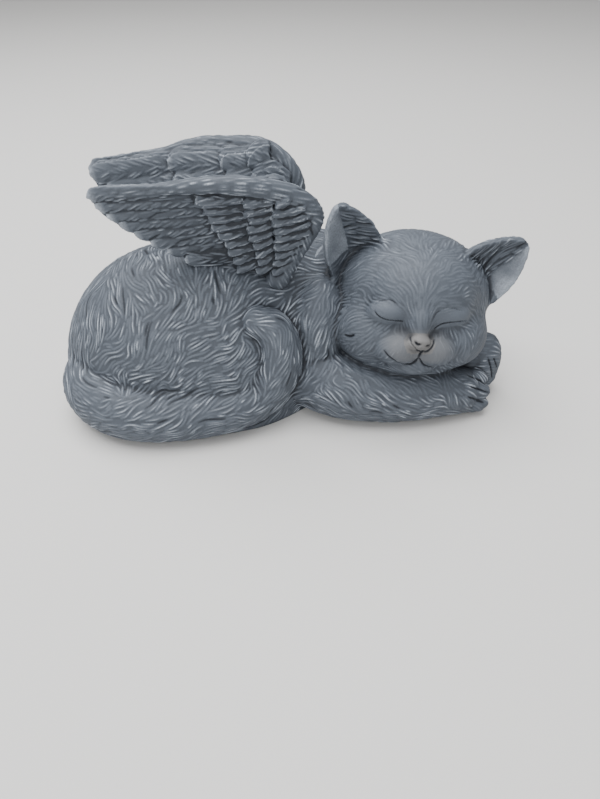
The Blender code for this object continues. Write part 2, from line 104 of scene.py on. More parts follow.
# A smooth curve through rows of numbers, with so many steps from each to the next
def smoothPath(points, steps):
    rows = np.array(points, float)
    ends = np.vstack([2 * rows[0] - rows[1], rows, 2 * rows[-1] - rows[-2]])
    found = []
    for i in range(1, len(ends) - 2):
        a, b, c, d = ends[i - 1 : i + 3]
        for t in np.arange(steps) / steps:
            bend = 2 * a - 5 * b + 4 * c - d
            turn = -a + 3 * b - 3 * c + d
            found.append(0.5 * (2 * b + (c - a) * t + bend * t**2 + turn * t**3))
    found.append(rows[-1])
    return np.array(found)


def ball(centre, radii, turn=(0, 0, 0), place=Matrix.Identity(4)):
    mesh = bpy.data.meshes.new("ball")
    form = bmesh.new()
    bmesh.ops.create_icosphere(form, subdivisions=5, radius=1)
    turned = Euler([math.radians(angle) for angle in turn]).to_matrix().to_4x4()
    matrix = place @ Matrix.Translation(centre) @ turned @ Matrix.Diagonal((*radii, 1))
    bmesh.ops.transform(form, matrix=matrix, verts=form.verts)
    form.to_mesh(mesh)
    form.free()
    return newPiece("ball", mesh)


# A round limb along a smooth curve of (x, y, z, radius), with round ends
def limb(points, steps=8):
    path = smoothPath(points, steps)
    curve = bpy.data.curves.new("limb", "CURVE")
    curve.dimensions = "3D"
    curve.bevel_depth = 1
    curve.bevel_resolution = 6
    curve.use_fill_caps = True
    spline = curve.splines.new("POLY")
    spline.points.add(len(path) - 1)
    for point, row in zip(spline.points, path):
        point.co = (*row[:3], 1)
        point.radius = row[3]
    tube = baked(newPiece("limb", curve))
    return [tube, *[ball(row[:3], [row[3]] * 3) for row in (path[0], path[-1])]]


# A closed solid between two grids of points of one size
def shell(front, back):
    rows, columns = front.shape[:2]
    form = bmesh.new()
    near = [[form.verts.new(front[i, j]) for j in range(columns)] for i in range(rows)]
    far = [[form.verts.new(back[i, j]) for j in range(columns)] for i in range(rows)]
    for i in range(rows - 1):
        for j in range(columns - 1):
            form.faces.new((near[i][j], near[i + 1][j], near[i + 1][j + 1], near[i][j + 1]))
            form.faces.new((far[i][j], far[i][j + 1], far[i + 1][j + 1], far[i + 1][j]))
    rim = [(i, 0) for i in range(rows)]
    rim += [(rows - 1, j) for j in range(1, columns)]
    rim += [(i, columns - 1) for i in range(rows - 2, -1, -1)]
    rim += [(0, j) for j in range(columns - 2, 0, -1)]
    for (i, j), (k, m) in zip(rim, rim[1:] + rim[:1]):
        form.faces.new((near[i][j], far[i][j], far[k][m], near[k][m]))
    bmesh.ops.recalc_face_normals(form, faces=form.faces)
    mesh = bpy.data.meshes.new("shell")
    form.to_mesh(mesh)
    form.free()
    return newPiece("shell", mesh)


# All the pieces as one skin, its creases softened by so many passes
def fused(pieces, grain, passes):
    form = bmesh.new()
    for piece in pieces:
        form.from_mesh(piece.data)
        bpy.data.objects.remove(piece)
    mesh = bpy.data.meshes.new("fused")
    form.to_mesh(mesh)
    form.free()
    whole = newPiece("fused", mesh)
    remesh = whole.modifiers.new("Skin", "REMESH")
    remesh.mode = "VOXEL"
    remesh.voxel_size = grain
    smooth = whole.modifiers.new("Soften", "SMOOTH")
    smooth.factor = 0.5
    smooth.iterations = passes
    return baked(whole)


def frameAt(centre, tip):
    return Matrix.Translation(centre) @ Euler([math.radians(angle) for angle in tip]).to_matrix().to_4x4()


def paired(forms, place):
    made = []
    for (x, y, z), radii, turn in forms:
        made.append(ball((x, y, z), radii, turn, place))
        made.append(ball((-x, y, z), radii, (turn[0], -turn[1], -turn[2]), place))
    return made


# One field of all the items of a mesh, with so many values for each
def fieldOf(items, field, width=1, kind=int):
    values = np.empty(len(items) * width, kind)
    items.foreach_get(field, values)
    return values


def pointsOf(mesh):
    return fieldOf(mesh.vertices, "co", 3, float).reshape(-1, 3)


def normalsOf(mesh):
    return fieldOf(mesh.vertex_normals, "vector", 3, float).reshape(-1, 3)


# Directions pressed flat onto the surface, each of length 1
def laidFlat(ways, normals):
    flat = ways - normals * (ways * normals).sum(axis=1, keepdims=True)
    return flat / np.maximum(np.linalg.norm(flat, axis=1, keepdims=True), 1e-9)


def movePoints(mesh, points):
    mesh.vertices.foreach_set("co", points.ravel())
    mesh.update()


def treeOf(piece):
    return BVHTree.FromObject(piece, bpy.context.evaluated_depsgraph_get())


# The point of a surface that a pixel of the photograph shows
def seenAt(tree, pixel):
    down = math.radians(90 - view["tilt"])
    across = (float(pixel[0]) - view["width"] / 2) / view["focal"]
    up = (view["height"] / 2 - float(pixel[1])) / view["focal"]
    ahead = Vector((0, math.cos(down), -math.sin(down)))
    ray = ahead + Vector((across, 0, 0)) + up * Vector((0, math.sin(down), math.cos(down)))
    return tree.ray_cast(Vector(view["place"]), ray.normalized())[:2]


# The pixels that show places on the figure
def pixelsOf(points):
    down = math.radians(90 - view["tilt"])
    gaps = points - np.array(view["place"])
    ahead = gaps @ np.array((0, math.cos(down), -math.sin(down)))
    up = gaps @ np.array((0, math.sin(down), math.cos(down)))
    across = view["width"] / 2 + view["focal"] * gaps[:, 0] / ahead
    return np.stack([across, view["height"] / 2 - view["focal"] * up / ahead], axis=1)


# The body, curled on its side: centre and half sizes along the spine, then further forms with their turns
body = {
    "spine": [
        (-32, -4.5, 4, 32, 25.5, 35), (-20, -0.5, 5, 27, 28.5, 36), (-7, 4.5, 6, 23, 25, 34),
        (8, 6.5, 6, 20, 23, 31), (20, 6, 4, 18, 20.5, 27), (32, 2, 2, 14, 19, 17),
    ],
    "haunch": [
        ((-34, -13, 13), (21, 15.5, 20), (0, 6, -4)),
        ((-21, -15, 12), (10, 9, 13), (0, 0, 0)),
        ((3.5, -9.5, 15), (9.5, 11, 19), (0, 6, 0)),
    ],
    "tail": [
        (-50, -9, 9, 10), (-53.5, -17, 8, 8.6), (-49, -24.5, 7.2, 7.8), (-40, -28.5, 6.6, 7.2),
        (-28, -28.2, 6.4, 6.8), (-17, -26, 6.8, 6.3), (-9.2, -23, 9.4, 5.8), (-5.4, -22, 15.6, 5.5),
        (-4.8, -21, 21.4, 5.1), (-6.8, -19.8, 26, 4.7), (-10.4, -19, 27.6, 3.9),
    ],
    "nearForeleg": [
        (3, -13.5, 9, 10), (11, -19, 8, 8.8), (23, -21, 7, 7.6), (33, -20.2, 6.6, 7), (41, -18.6, 6, 6.3),
    ],
    "farForeleg": [(26, 2, 8, 9), (36, -5, 8, 7.5), (46, -9, 10, 5.5)],
    "nearToes": [
        ((44.8, -21, 3.4), (5, 2.2, 2.6), (0, 0, 0)),
        ((44.6, -20, 7), (5.4, 2.3, 2.4), (0, 4, 2)),
        ((44.4, -16.8, 8.8), (5.2, 2.5, 2.2), (0, 4, 0)),
        ((45.2, -16, 4.8), (4.6, 3.4, 3.8), (0, 0, 0)),
    ],
    "farPaw": [((48.8, -9.6, 8.6), (5.4, 5.2, 9), (0, 6, 0))],
    "farToes": [
        ((50.2, -12.4, 5.6), (2.9, 2.1, 4), (0, 14, 0)),
        ((51, -9.4, 5), (3, 2.1, 4.2), (0, 14, 0)),
        ((50.2, -6.4, 4.8), (2.9, 2.1, 4), (0, 14, 0)),
    ],
}

# The head and face, each in a frame whose -Y is where it looks, and the ears
head = {
    "centre": (29, -8, 26), "reach": 24, "tip": (-14, 5, 0),
    "skull": [((-0.4, 2.5, 1.8), (19.7, 17, 16), (0, 0, 0)), ((0, -5, 4), (14.5, 12, 11.5), (0, 0, 0))],
    "leftCheek": [((-9.8, -4.2, -5.2), (11, 11.5, 9.3), (0, 0, 0)), ((-13, 1, -6), (8, 10, 7.5), (0, 0, 0))],
    "rightCheek": [((9, -4.2, -5.2), (9.6, 11.5, 9), (0, 0, 0)), ((11, 1, -5.4), (7.3, 10, 7.2), (0, 0, 0))],
    "ruff": [((-1.2, -5, -9.2), (15.6, 9, 9), (0, 0, 0))],  # the fur that fills out the jaw
    "faceCentre": (27.8, -8, 25.2), "faceTip": (-14, 2.6, 0),
    "muzzle": [((4.4, -14, -5.8), (5.6, 5, 4.2), (0, 10, 0))],
    "lids": [((7.8, -13.4, 2.7), (4.5, 2.9, 2.9), (0, 4, 14))],
    "bridge": [((0, -13.2, 0.8), (3.4, 5.6, 6), (30, 0, 0)), ((0, -12, -10.4), (6.4, 4.4, 3), (0, 0, 0))],
    "nose": [((0, -18.6, -2.9), (2.7, 1.7, 1.7), (24, 0, 0))],
    "leftEar": {"base": (13.2, -5, 38.5), "tip": (8.8, -6, 51), "spread": 7.2, "opens": (0.25, -1, 0.1)},
    "rightEar": {"base": (44.6, -7, 33.2), "tip": (55, -6, 41.6), "spread": 7.8, "opens": (-0.05, -1, 0.05)},
}
ear = {
    "rows": 28, "columns": 23, "root": -0.35,  # where it starts, as a share of its height above its base
    "thickness": 2.2, "rootThicker": 0.35, "bow": 1.9, "blunt": 0.85, "tipHalf": 0.9,
    "cup": 3.6, "cupFade": 1.5, "leastCup": 0.4, "cupMiddle": 0.75,
    "furFrom": 0.05, "reach": 10, "facing": 0.3,  # where the fur inside it starts, its width, how it faces
}


# A cupped, pointed ear with its rims bowed outwards
def makeEar(base, tip, spread, opens):
    start, end = np.array(base, float), np.array(tip, float)
    rise = end - start
    height = np.linalg.norm(rise)
    rise /= height
    forward = np.array(opens, float)
    forward -= rise * (forward @ rise)
    forward /= np.linalg.norm(forward)
    across = np.cross(rise, forward)
    front, back = [], []
    for s in np.linspace(ear["root"], 1, ear["rows"]):
        up = max(s, 0)
        halfWidth = spread * (1 - up ** ear["bow"]) ** ear["blunt"] + ear["tipHalf"] * up
        cup = ear["cup"] * (1 - up ** ear["cupFade"]) + ear["leastCup"]
        thick = ear["thickness"] / 2 * (1 + ear["rootThicker"] - ear["rootThicker"] * s)
        middle = [
            start + rise * height * s + across * halfWidth * t + forward * cup * (t * t - ear["cupMiddle"])
            for t in np.linspace(-1, 1, ear["columns"])]
        front.append([place + forward * thick for place in middle])
        back.append([place - forward * thick for place in middle])
    return shell(np.array(front), np.array(back))


def makeHead():
    place = frameAt(head["centre"], head["tip"])
    front = frameAt(head["faceCentre"], head["faceTip"])
    parts = ("skull", "leftCheek", "rightCheek", "ruff")
    skull = [ball(*form, place) for part in parts for form in head[part]]
    skull = fused(skull, *casting["skins"]["skull"])
    muzzle = [ball(*form, front) for form in head["bridge"]] + paired(head["muzzle"], front)
    muzzle = fused([skull, *muzzle], *casting["skins"]["muzzle"])
    nose = [ball(*form, front) for form in head["nose"]]
    return fused([muzzle, *paired(head["lids"], front), *nose], *casting["skins"]["face"])


def makeCoat():
    skins = casting["skins"]
    trunk = fused([ball(row[:3], row[3:]) for row in smoothPath(body["spine"], 4)], *skins["trunk"])
    trunk = fused([trunk, *[ball(*form) for form in body["haunch"]]], *skins["trunk"])
    pieces = [trunk, makeHead(), makeEar(**head["leftEar"]), makeEar(**head["rightEar"])]
    pieces += limb(body["tail"]) + limb(body["nearForeleg"]) + limb(body["farForeleg"])
    for part in ("nearToes", "farPaw", "farToes"):
        pieces += [ball(*form) for form in body[part]]
    coat = fused([fused(pieces, *skins["joined"])], casting["grain"], casting["coatPasses"])
    points = pointsOf(coat.data)
    points[:, 2] = np.maximum(points[:, 2], 0)
    movePoints(coat.data, points)
    return coat


# Which way the fur lies: (place, direction). Between them the direction is blended.
furGuides = [
    ((-50, -8, 33), (-0.5, -0.3, -0.8)), ((-61, -6, 16), (-0.1, -0.3, -1)),
    ((-36, -12, 39), (-0.2, -0.6, -0.7)), ((-44, -22, 28), (0, -0.3, -1)),
    ((-36, -27, 24), (-0.5, 0, -0.9)), ((-28, -25, 30), (0.3, -0.2, -0.9)),
    ((-24, -27, 22), (0.9, 0, 0.3)), ((-32, -28, 16), (0.8, 0, -0.5)),
    ((-44, -25, 15), (0.6, -0.2, -0.8)), ((-18, -24, 32), (0.2, -0.4, -0.9)),
    ((-15, -24, 16), (0.9, 0, 0.2)), ((-8, -20, 33), (0.4, -0.3, -0.8)),
    ((2, -22, 30), (0.3, -0.4, -0.9)), ((6, -24, 18), (0.1, -0.2, -1)), ((4, -8, 37), (0.9, 0, -0.3)),
    ((-30, 22, 28), (-0.6, 0.3, -0.7)), ((-50, 12, 22), (-0.7, 0.3, -0.6)),
    ((-8, 28, 20), (-0.6, 0.2, -0.8)), ((0, 14, 37), (-0.6, 0.6, -0.5)),
    ((20, 22, 16), (-0.4, 0.2, -0.9)), ((-24, 6, 41), (-0.9, 0.3, -0.1)), ((28, -24, 37), (0, 0.3, 1)),
    ((20, -20, 37), (-0.6, 0.2, 0.8)), ((37, -20, 36), (0.6, 0.2, 0.8)), ((29, -8, 43), (0, 0.9, 0.2)),
    ((29, 9, 36), (0, 0.6, -0.8)), ((11, -14, 30), (-0.7, 0.3, -0.2)),
    ((47, -14, 28), (0.7, 0.3, -0.2)), ((13, -21, 22), (-0.7, 0, -0.7)),
    ((44, -20, 21), (0.6, 0, -0.8)), ((20, -25, 17), (-0.3, 0, -1)), ((36, -25, 16), (0.2, 0, -1)),
]

# Lines of the fur as pixels, placed by eye on pictures of the photograph over which a scratch program
# had drawn the run of its strokes
furSweeps = {
    "rump": [
        [(80, 290), (72, 308), (68, 340), (67, 375), (71, 402)],
        [(116, 257), (102, 266), (90, 276), (82, 288)],
        [(133, 262), (129, 272), (132, 281), (141, 291), (149, 305)],
        [(118, 290), (121, 305), (125, 318), (121, 332)], [(105, 302), (105, 326)],
        [(96, 322), (94, 348)], [(133, 330), (133, 352)], [(76, 391), (94, 395)],
        [(86, 340), (84, 360), (90, 374), (105, 386), (118, 400)], [(121, 349), (108, 356), (96, 364)],
        [(132, 360), (118, 370)], [(160, 324), (153, 337), (146, 353), (138, 366)],
        [(125, 376), (125, 392)],
    ],
    "haunch": [
        [(190, 300), (180, 310)], [(167, 309), (153, 321)], [(206, 292), (205, 302), (201, 316)],
        [(215, 326), (203, 325), (187, 329), (178, 338), (173, 352)], [(215, 343), (195, 347)],
        [(223, 350), (207, 360)], [(243, 360), (227, 370)], [(250, 369), (240, 381)],
        [(235, 382), (215, 386)], [(207, 370), (193, 380)], [(182, 369), (168, 381)],
        [(163, 378), (147, 388)], [(149, 370), (131, 378)],
        [(249, 298), (243, 308), (233, 318), (225, 330)],
    ],
    "back": [
        [(183, 275), (187, 292)], [(159, 277), (171, 289)], [(176, 290), (174, 304)],
        [(214, 280), (216, 300)], [(229, 290), (227, 312)], [(244, 282), (237, 297)],
        [(265, 284), (251, 296)], [(285, 285), (265, 286)], [(310, 263), (290, 261)],
        [(260, 261), (241, 268)],
    ],
    "tail": [
        [(72, 411), (82, 420), (98, 426)], [(86, 414), (104, 414)], [(115, 424), (136, 425)],
        [(147, 427), (163, 421)], [(177, 429), (193, 419)], [(106, 409), (124, 401)],
        [(128, 411), (142, 399)], [(158, 412), (172, 398)], [(188, 411), (202, 399)],
        [(217, 409), (233, 401)], [(142, 421), (158, 409)], [(177, 421), (193, 409)],
        [(226, 419), (244, 417)], [(238, 406), (252, 394)], [(252, 404), (257, 392), (256, 378)],
        [(270, 372), (269, 352), (263, 338), (255, 330)],
        [(269, 396), (281, 380), (287, 362), (286, 342), (281, 327), (270, 321), (256, 320)],
    ],
    "shoulder": [
        [(311, 293), (299, 307)], [(320, 312), (312, 328), (309, 345), (305, 360)],
        [(324, 357), (316, 373)], [(313, 380), (297, 390)], [(330, 373), (320, 387)],
    ],
    "foreleg": [
        [(324, 385), (331, 393), (340, 402)], [(344, 382), (357, 395)], [(368, 383), (382, 397)],
        [(392, 385), (407, 395)], [(422, 384), (438, 396)], [(445, 383), (450, 397)],
        [(454, 385), (465, 399)], [(471, 380), (488, 390)], [(320, 401), (339, 409)],
        [(370, 401), (389, 409)], [(420, 405), (440, 406)],
    ],
    "leftEar": [
        [(366, 224), (356, 221), (343, 219)], [(370, 232), (358, 229), (346, 229)],
        [(374, 241), (362, 238), (349, 240)], [(377, 250), (365, 248), (352, 253)],
        [(377, 260), (365, 259), (353, 266)],
    ],
    "rightEar": [
        [(521, 248), (508, 255), (494, 268)], [(512, 247), (500, 255), (488, 269)],
        [(502, 249), (491, 257), (481, 271)], [(491, 253), (483, 262), (476, 275)],
    ],
    "head": [
        [(423, 320), (423, 300)], [(417, 310), (414, 292), (408, 272)], [(424, 262), (427, 246)],
        [(410, 291), (397, 274), (383, 266), (362, 261)], [(394, 289), (378, 282)],
        [(399, 303), (380, 297)], [(374, 308), (366, 298)], [(363, 303), (345, 303)],
        [(353, 285), (343, 291), (335, 300), (330, 310)],
        [(351, 307), (342, 316), (334, 328), (334, 340), (340, 352), (352, 362), (372, 370), (395, 375)],
        [(363, 320), (347, 330)], [(371, 334), (359, 346)], [(359, 334), (341, 338)],
        [(412, 254), (398, 247)], [(431, 308), (440, 292)], [(432, 281), (441, 264)],
        [(440, 291), (456, 280), (472, 279)], [(441, 271), (452, 261), (466, 257)],
        [(441, 305), (459, 302)], [(456, 297), (474, 294)], [(471, 301), (480, 316)],
        [(486, 296), (485, 314), (484, 330)], [(434, 255), (446, 246)], [(459, 348), (455, 362)],
        [(465, 348), (465, 366)], [(480, 346), (470, 360)],
    ],
}

# Where the furry half of each ear meets its smooth flap, as pixels
earFolds = {
    "leftEar": [(338, 205), (343, 225), (347, 240), (350, 262)],
    "rightEar": [(530, 244), (505, 264), (484, 280)],
}

# The carved strands of fur, in millimetres, and the share of them that is cut in instead of raised
fur = {
    "cell": 0.26, "step": 0.4, "steps": 12, "halfWidth": 0.33, "height": 0.29, "wave": 4, "swing": 0.4,
    "lock": 2.2, "grooved": 0.035, "seed": 5, "shortest": 4,
    "lockHeights": (0.75, 0.45), "heights": (0.7, 0.5), "grooveDepth": 0.6, "blunt": 0.05,
    "nearest": 0.7,  # a guide acts no more strongly than from this far off
    "leap": 4,  # a drawn line that goes farther than this in one step has left its surface
}
faceFur = {
    **fur, "cell": 0.24, "step": 0.35, "halfWidth": 0.3, "height": 0.13, "wave": 6, "lock": 4, "grooved": 0,
}


def limbGuides(points):
    path = smoothPath(points, 3)
    return [(a[:3], b[:3] - a[:3], a[3]) for a, b in zip(path, path[1:])]


# The drawn lines of fur laid on the surface, each as a row of guides
def sweepGuides(tree):
    guides = []
    for sweeps in furSweeps.values():
        for sweep in sweeps:
            places = [seenAt(tree, pixel)[0] for pixel in smoothPath(sweep, 4)]
            for a, b in zip(places, places[1:]):
                if a is not None and b is not None and 0 < (b - a).length < fur["leap"]:
                    guides.append(((a + b) / 2, b - a, 0))
    return guides


# The line along which the fur lies at each point. The guides count as lines, with no front or back.
def flowOver(tree, points, normals):
    guides = [(place, way, 0) for place, way in furGuides] + sweepGuides(tree)
    guides += limbGuides(body["farForeleg"])
    places = np.array([guide[0] for guide in guides], float)
    ways = np.array([np.array(guide[1]) / np.linalg.norm(guide[1]) for guide in guides])
    reach = np.array([guide[2] for guide in guides], float)
    spread = (ways[:, :, None] * ways[:, None, :]).reshape(-1, 9)
    flow = np.empty_like(points)
    chunk = 10000
    for start in range(0, len(points), chunk):
        part, normal = points[start : start + chunk], normals[start : start + chunk]
        gap = (part**2).sum(axis=1)[:, None] + (places**2).sum(axis=1)[None] - 2 * part @ places.T
        gap = np.sqrt(np.maximum(gap, 0)) - reach
        blend = ((1 / np.maximum(gap, fur["nearest"]) ** 4) @ spread).reshape(-1, 3, 3)
        flat = np.eye(3) - normal[:, :, None] * normal[:, None, :]
        flow[start : start + chunk] = np.linalg.eigh(flat @ blend @ flat)[1][:, :, 2]
    sway = np.array([noise.noise(Vector(point) / fur["wave"]) for point in points])
    sway = sway[:, None] * 2 * fur["swing"]
    return flow * np.cos(sway) + np.cross(normals, flow) * np.sin(sway)


# Even lines along the flow: no line comes into a cell that another one holds
def layStrands(piece, points, flow, allowed, look):
    mesh = piece.data
    tree = treeOf(piece)
    corner = fieldOf(mesh.loops, "vertex_index")[fieldOf(mesh.polygons, "loop_start")]
    cell = look["cell"]
    low = points.min(axis=0) - 3 * cell
    held = np.zeros(((points.max(axis=0) - low) / cell + 4).astype(int), np.int32)
    chance = np.random.default_rng(look["seed"])
    order = chance.permutation(np.flatnonzero(allowed))
    strands = []
    for seed in order:
        number = len(strands) + 1
        at = tuple(((points[seed] - low) / cell).astype(int))
        if held[at]:
            continue
        halves = []
        most = chance.integers(look["steps"] // 3, look["steps"] + 1)
        for sign in (-1, 1):
            place, way, half = Vector(points[seed]), Vector(flow[seed]), []
            for _ in range(most):
                place, normal, face, _ = tree.find_nearest(place + way * (sign * look["step"]))
                nearest = corner[face]
                at = tuple(((np.array(place) - low) / cell).astype(int))
                if held[at] or not allowed[nearest]:
                    break
                half.append(np.array(place))
                turned = Vector(flow[nearest])
                way = turned if turned.dot(way) > 0 else -turned
            halves.append(half)
        line = halves[0][::-1] + [points[seed].copy()] + halves[1]
        for point in line:
            i, j, k = ((point - low) / cell).astype(int)
            held[i - 1 : i + 2, j - 1 : j + 2, k - 1 : k + 2] = number
        if len(line) > look["shortest"]:
            strands.append(np.array(line))
    return strands


# How high each point stands on its nearest strand: 0 in the valleys, up to 1 on a crest, below 0 in a
# groove. Strands near each other are of like height, which gathers them into locks.
def strandCrests(points, strands, look, allowed):
    chance = np.random.default_rng(look["seed"])
    places, along, strength = [], [], []
    for line in strands:
        between = (line[:-1] + line[1:]) / 2
        full = np.empty((len(line) * 2 - 1, 3))
        full[::2], full[1::2] = line, between
        places.append(full)
        along.append(np.linspace(0, 1, len(full)))
        least, more = look["lockHeights"]
        lock = least + more * noise.noise(Vector(full[len(full) // 2]) / look["lock"])
        least, more = look["heights"]
        height = min(lock * (least + more * chance.random()), 1)
        height = -look["grooveDepth"] if chance.random() < look["grooved"] else height
        strength.append(np.full(len(full), height))
    places, along, strength = np.vstack(places), np.concatenate(along), np.concatenate(strength)
    tree = KDTree(len(places))
    for i, place in enumerate(places):
        tree.insert(place, i)
    tree.balance()
    crest = np.zeros(len(points))
    for i in np.flatnonzero(allowed):
        _, found, gap = tree.find(points[i])
        if gap < look["halfWidth"]:
            taper = math.sin(math.pi * (look["blunt"] + (1 - 2 * look["blunt"]) * along[found])) ** 0.5
            crest[i] = strength[found] * taper * (1 - (gap / look["halfWidth"]) ** 2)
    return crest


# Cuts in the face and the paws: width and depth in millimetres, then the line as pixels of the photograph
carvedCuts = {
    "leftLid": (0.6, 0.5, [(374, 311), (378, 316), (386, 320), (402, 321.5)]),
    "rightLid": (0.6, 0.5, [(435, 328), (443, 324), (454, 322.5), (466, 321)]),
    "leftLidFold": (0.55, 0.16, [(372, 306), (380, 301), (390, 300), (398, 304)]),
    "rightLidFold": (0.55, 0.16, [(432, 321), (438, 312), (450, 308), (463, 311)]),
    "philtrum": (0.65, 0.55, [(423, 351), (420, 354), (418.5, 358)]),
    "mouthLeft": (0.7, 0.6, [(418.5, 358), (411, 364), (399, 363), (389, 357), (384, 351)]),
    "mouthRight": (0.7, 0.6, [(418.5, 358), (424, 365), (433, 368)]),
    "leftNostril": (0.9, 0.9, [(415, 342), (417.5, 345), (420.5, 345)]),
    "rightNostril": (0.9, 0.9, [(431.5, 343), (430, 346), (427, 346.5)]),
    "noseLeft": (0.7, 0.35, [(410, 338), (411, 344), (417, 350), (422, 352.5)]),
    "noseRight": (0.7, 0.35, [(434.5, 340), (433, 346), (428, 351), (423, 352.5)]),
    "cheekMark": (0.8, 0.6, [(344, 334.5), (349, 336.5), (354, 335)]),
    "nearToes1": (0.9, 0.55, [(468, 375), (477, 379), (488, 386)]),
    "nearToes2": (0.9, 0.55, [(470, 387), (479, 389), (489, 393)]),
    "nearToes3": (0.9, 0.5, [(468, 397), (477, 400), (485, 403)]),
    "farToes1": (0.8, 0.5, [(488, 358), (491, 368), (492, 379)]),
    "farToes2": (0.8, 0.5, [(494, 358), (497, 367), (498, 377)]),
}
# How far from its middle a cut may reach, how deep it is at its ends, and how fast it deepens from them
cutting = {"reach": 12, "ends": 0.45, "deepening": 4}


def cutLines(tree, points, cuts):
    depthAt = np.zeros(len(points))
    for width, depth, line in cuts.values():
        hits = [seenAt(tree, pixel)[0] for pixel in smoothPath(line, 8)]
        samples = np.array([hit for hit in hits if hit is not None])
        near = np.flatnonzero(np.linalg.norm(points - samples.mean(axis=0), axis=1) < cutting["reach"])
        gaps = np.linalg.norm(points[near][:, None] - samples[None], axis=2)
        gap, which = gaps.min(axis=1), gaps.argmin(axis=1)
        ends = np.minimum(which, len(samples) - 1 - which) / len(samples)
        deep = np.clip(cutting["ends"] + cutting["deepening"] * ends, 0, 1)
        fall = np.clip(1 - (2 * gap / width) ** 2, 0, 1) * depth * deep
        depthAt[near] = np.maximum(depthAt[near], fall)
    return depthAt


# How far each point lies below the surface around it, which darkens it with painted shade
def hollowness(mesh, points, normals):
    edges = fieldOf(mesh.edges, "vertices", 2)
    a, b = edges[::2], edges[1::2]
    size = len(points)
    count = np.bincount(a, minlength=size) + np.bincount(b, minlength=size)
    soft = points.copy()
    pull = 0.6
    for _ in range(casting["hollowPasses"]):
        total = [np.bincount(a, soft[b, k], size) + np.bincount(b, soft[a, k], size) for k in range(3)]
        soft = (1 - pull) * soft + pull * np.stack(total, axis=1) / count[:, None]
    return ((soft - points) * normals).sum(axis=1)


# How far each part of the figure is shut in by the rest of it: 0 in the open, 1 at the bottom of a recess. It
# sets the painted shade, which darkens the recesses and dims the dry-brushing there.
shelter = {"grain": 0.9, "passes": 1, "reach": 13, "rays": 22, "off": 0.3, "blend": 4, "soft": 0.1}


def shelterOver(pieces):
    copies = [newPiece("copy", piece.data.copy()) for piece in pieces]
    whole = fused(copies, shelter["grain"], shelter["passes"])
    tree = treeOf(whole)
    points, normals = pointsOf(whole.data), normalsOf(whole.data)
    golden = math.pi * (3 - math.sqrt(5))
    rays = []
    for i in range(shelter["rays"]):
        rise = math.sqrt(1 - (i + 0.5) / shelter["rays"])
        flat = math.sqrt(1 - rise * rise)
        rays.append(Vector((flat * math.cos(golden * i), flat * math.sin(golden * i), rise)))
    found = KDTree(len(points))
    shut = np.zeros(len(points))
    for i, (point, normal) in enumerate(zip(points, normals)):
        turn = Vector(normal).to_track_quat("Z", "Y")
        start = Vector(point) + Vector(normal) * shelter["off"]
        for ray in rays:
            gap = tree.ray_cast(start, turn @ ray, shelter["reach"])[3]
            if gap is not None:
                shut[i] += (1 - gap / shelter["reach"]) / len(rays)
        found.insert(point, i)
    found.balance()
    bpy.data.objects.remove(whole)
    return found, shut


def shelterAt(points):
    tree, shut = sheltered
    values = np.empty(len(points))
    for i, point in enumerate(points):
        near = tree.find_n(point, shelter["blend"])
        weights = [1 / (gap + shelter["soft"]) for _, _, gap in near]
        values[i] = sum(shut[j] * weight for (_, j, _), weight in zip(near, weights)) / sum(weights)
    return values


# The face in its own frame. Each area has how far aside and up its middle lies, then its half sizes.
faceMap = {
    "nose": (0, -3.4, 3.6, 2.8), "muzzle": (0, -4.4, 8, 4.2), "lids": (7.6, 2.2, 4.6, 2.6),
    "softness": 1.6,  # where an area has faded out, in shares of its reach; it is whole up to this less 1
    "front": -8, "fineFurTo": 6,  # the face lies before the first and the fine fur before the second
    "calm": (0.6, 0.75),  # how much the fur is smoothed out on the muzzle and the lids
    "bareMuzzle": 0.45,
    # The shaggy fur beside the left cheek: its middle, reach and soft edge, how far back it goes, its gain
    "shag": {"middle": (-15.5, -1), "reach": 7, "edge": 1.4, "back": 4, "gain": 1.2},
    "earGain": 0.5,
}


# How far out from the middle of an area of the face each place lies, squared: 1 on its edge
def outFrom(face, area):
    aside, up, halfWidth, halfHeight = faceMap[area]
    return ((np.abs(face[:, 0]) - aside) / halfWidth) ** 2 + ((face[:, 2] - up) / halfHeight) ** 2


# Which points are inside the ears, and which of them on the smooth flaps
def earPlaces(points, normals):
    pixels = pixelsOf(points)
    inEar, flap = np.zeros(len(points), bool), np.zeros(len(points), bool)
    for side in earFolds:
        base, tip = np.array(head[side]["base"], float), np.array(head[side]["tip"], float)
        up = ((points - base) @ (tip - base)) / ((tip - base) @ (tip - base))
        off = np.linalg.norm(points - base - np.clip(up, 0, 1)[:, None] * (tip - base), axis=1)
        here = (up > ear["furFrom"]) & (off < ear["reach"]) & (normals[:, 1] < ear["facing"])
        fold = np.array(earFolds[side], float)
        if side == "leftEar":
            smooth = pixels[:, 0] < np.interp(pixels[:, 1], fold[:, 1], fold[:, 0])
        else:
            smooth = pixels[:, 1] > np.interp(pixels[:, 0], fold[::-1, 0], fold[::-1, 1])
        inEar |= here
        flap |= here & smooth
    return inEar, flap


def facePlaces(points):
    turned = np.array(frameAt(head["faceCentre"], head["faceTip"]).inverted())
    return points @ turned[:3, :3].T + turned[:3, 3]


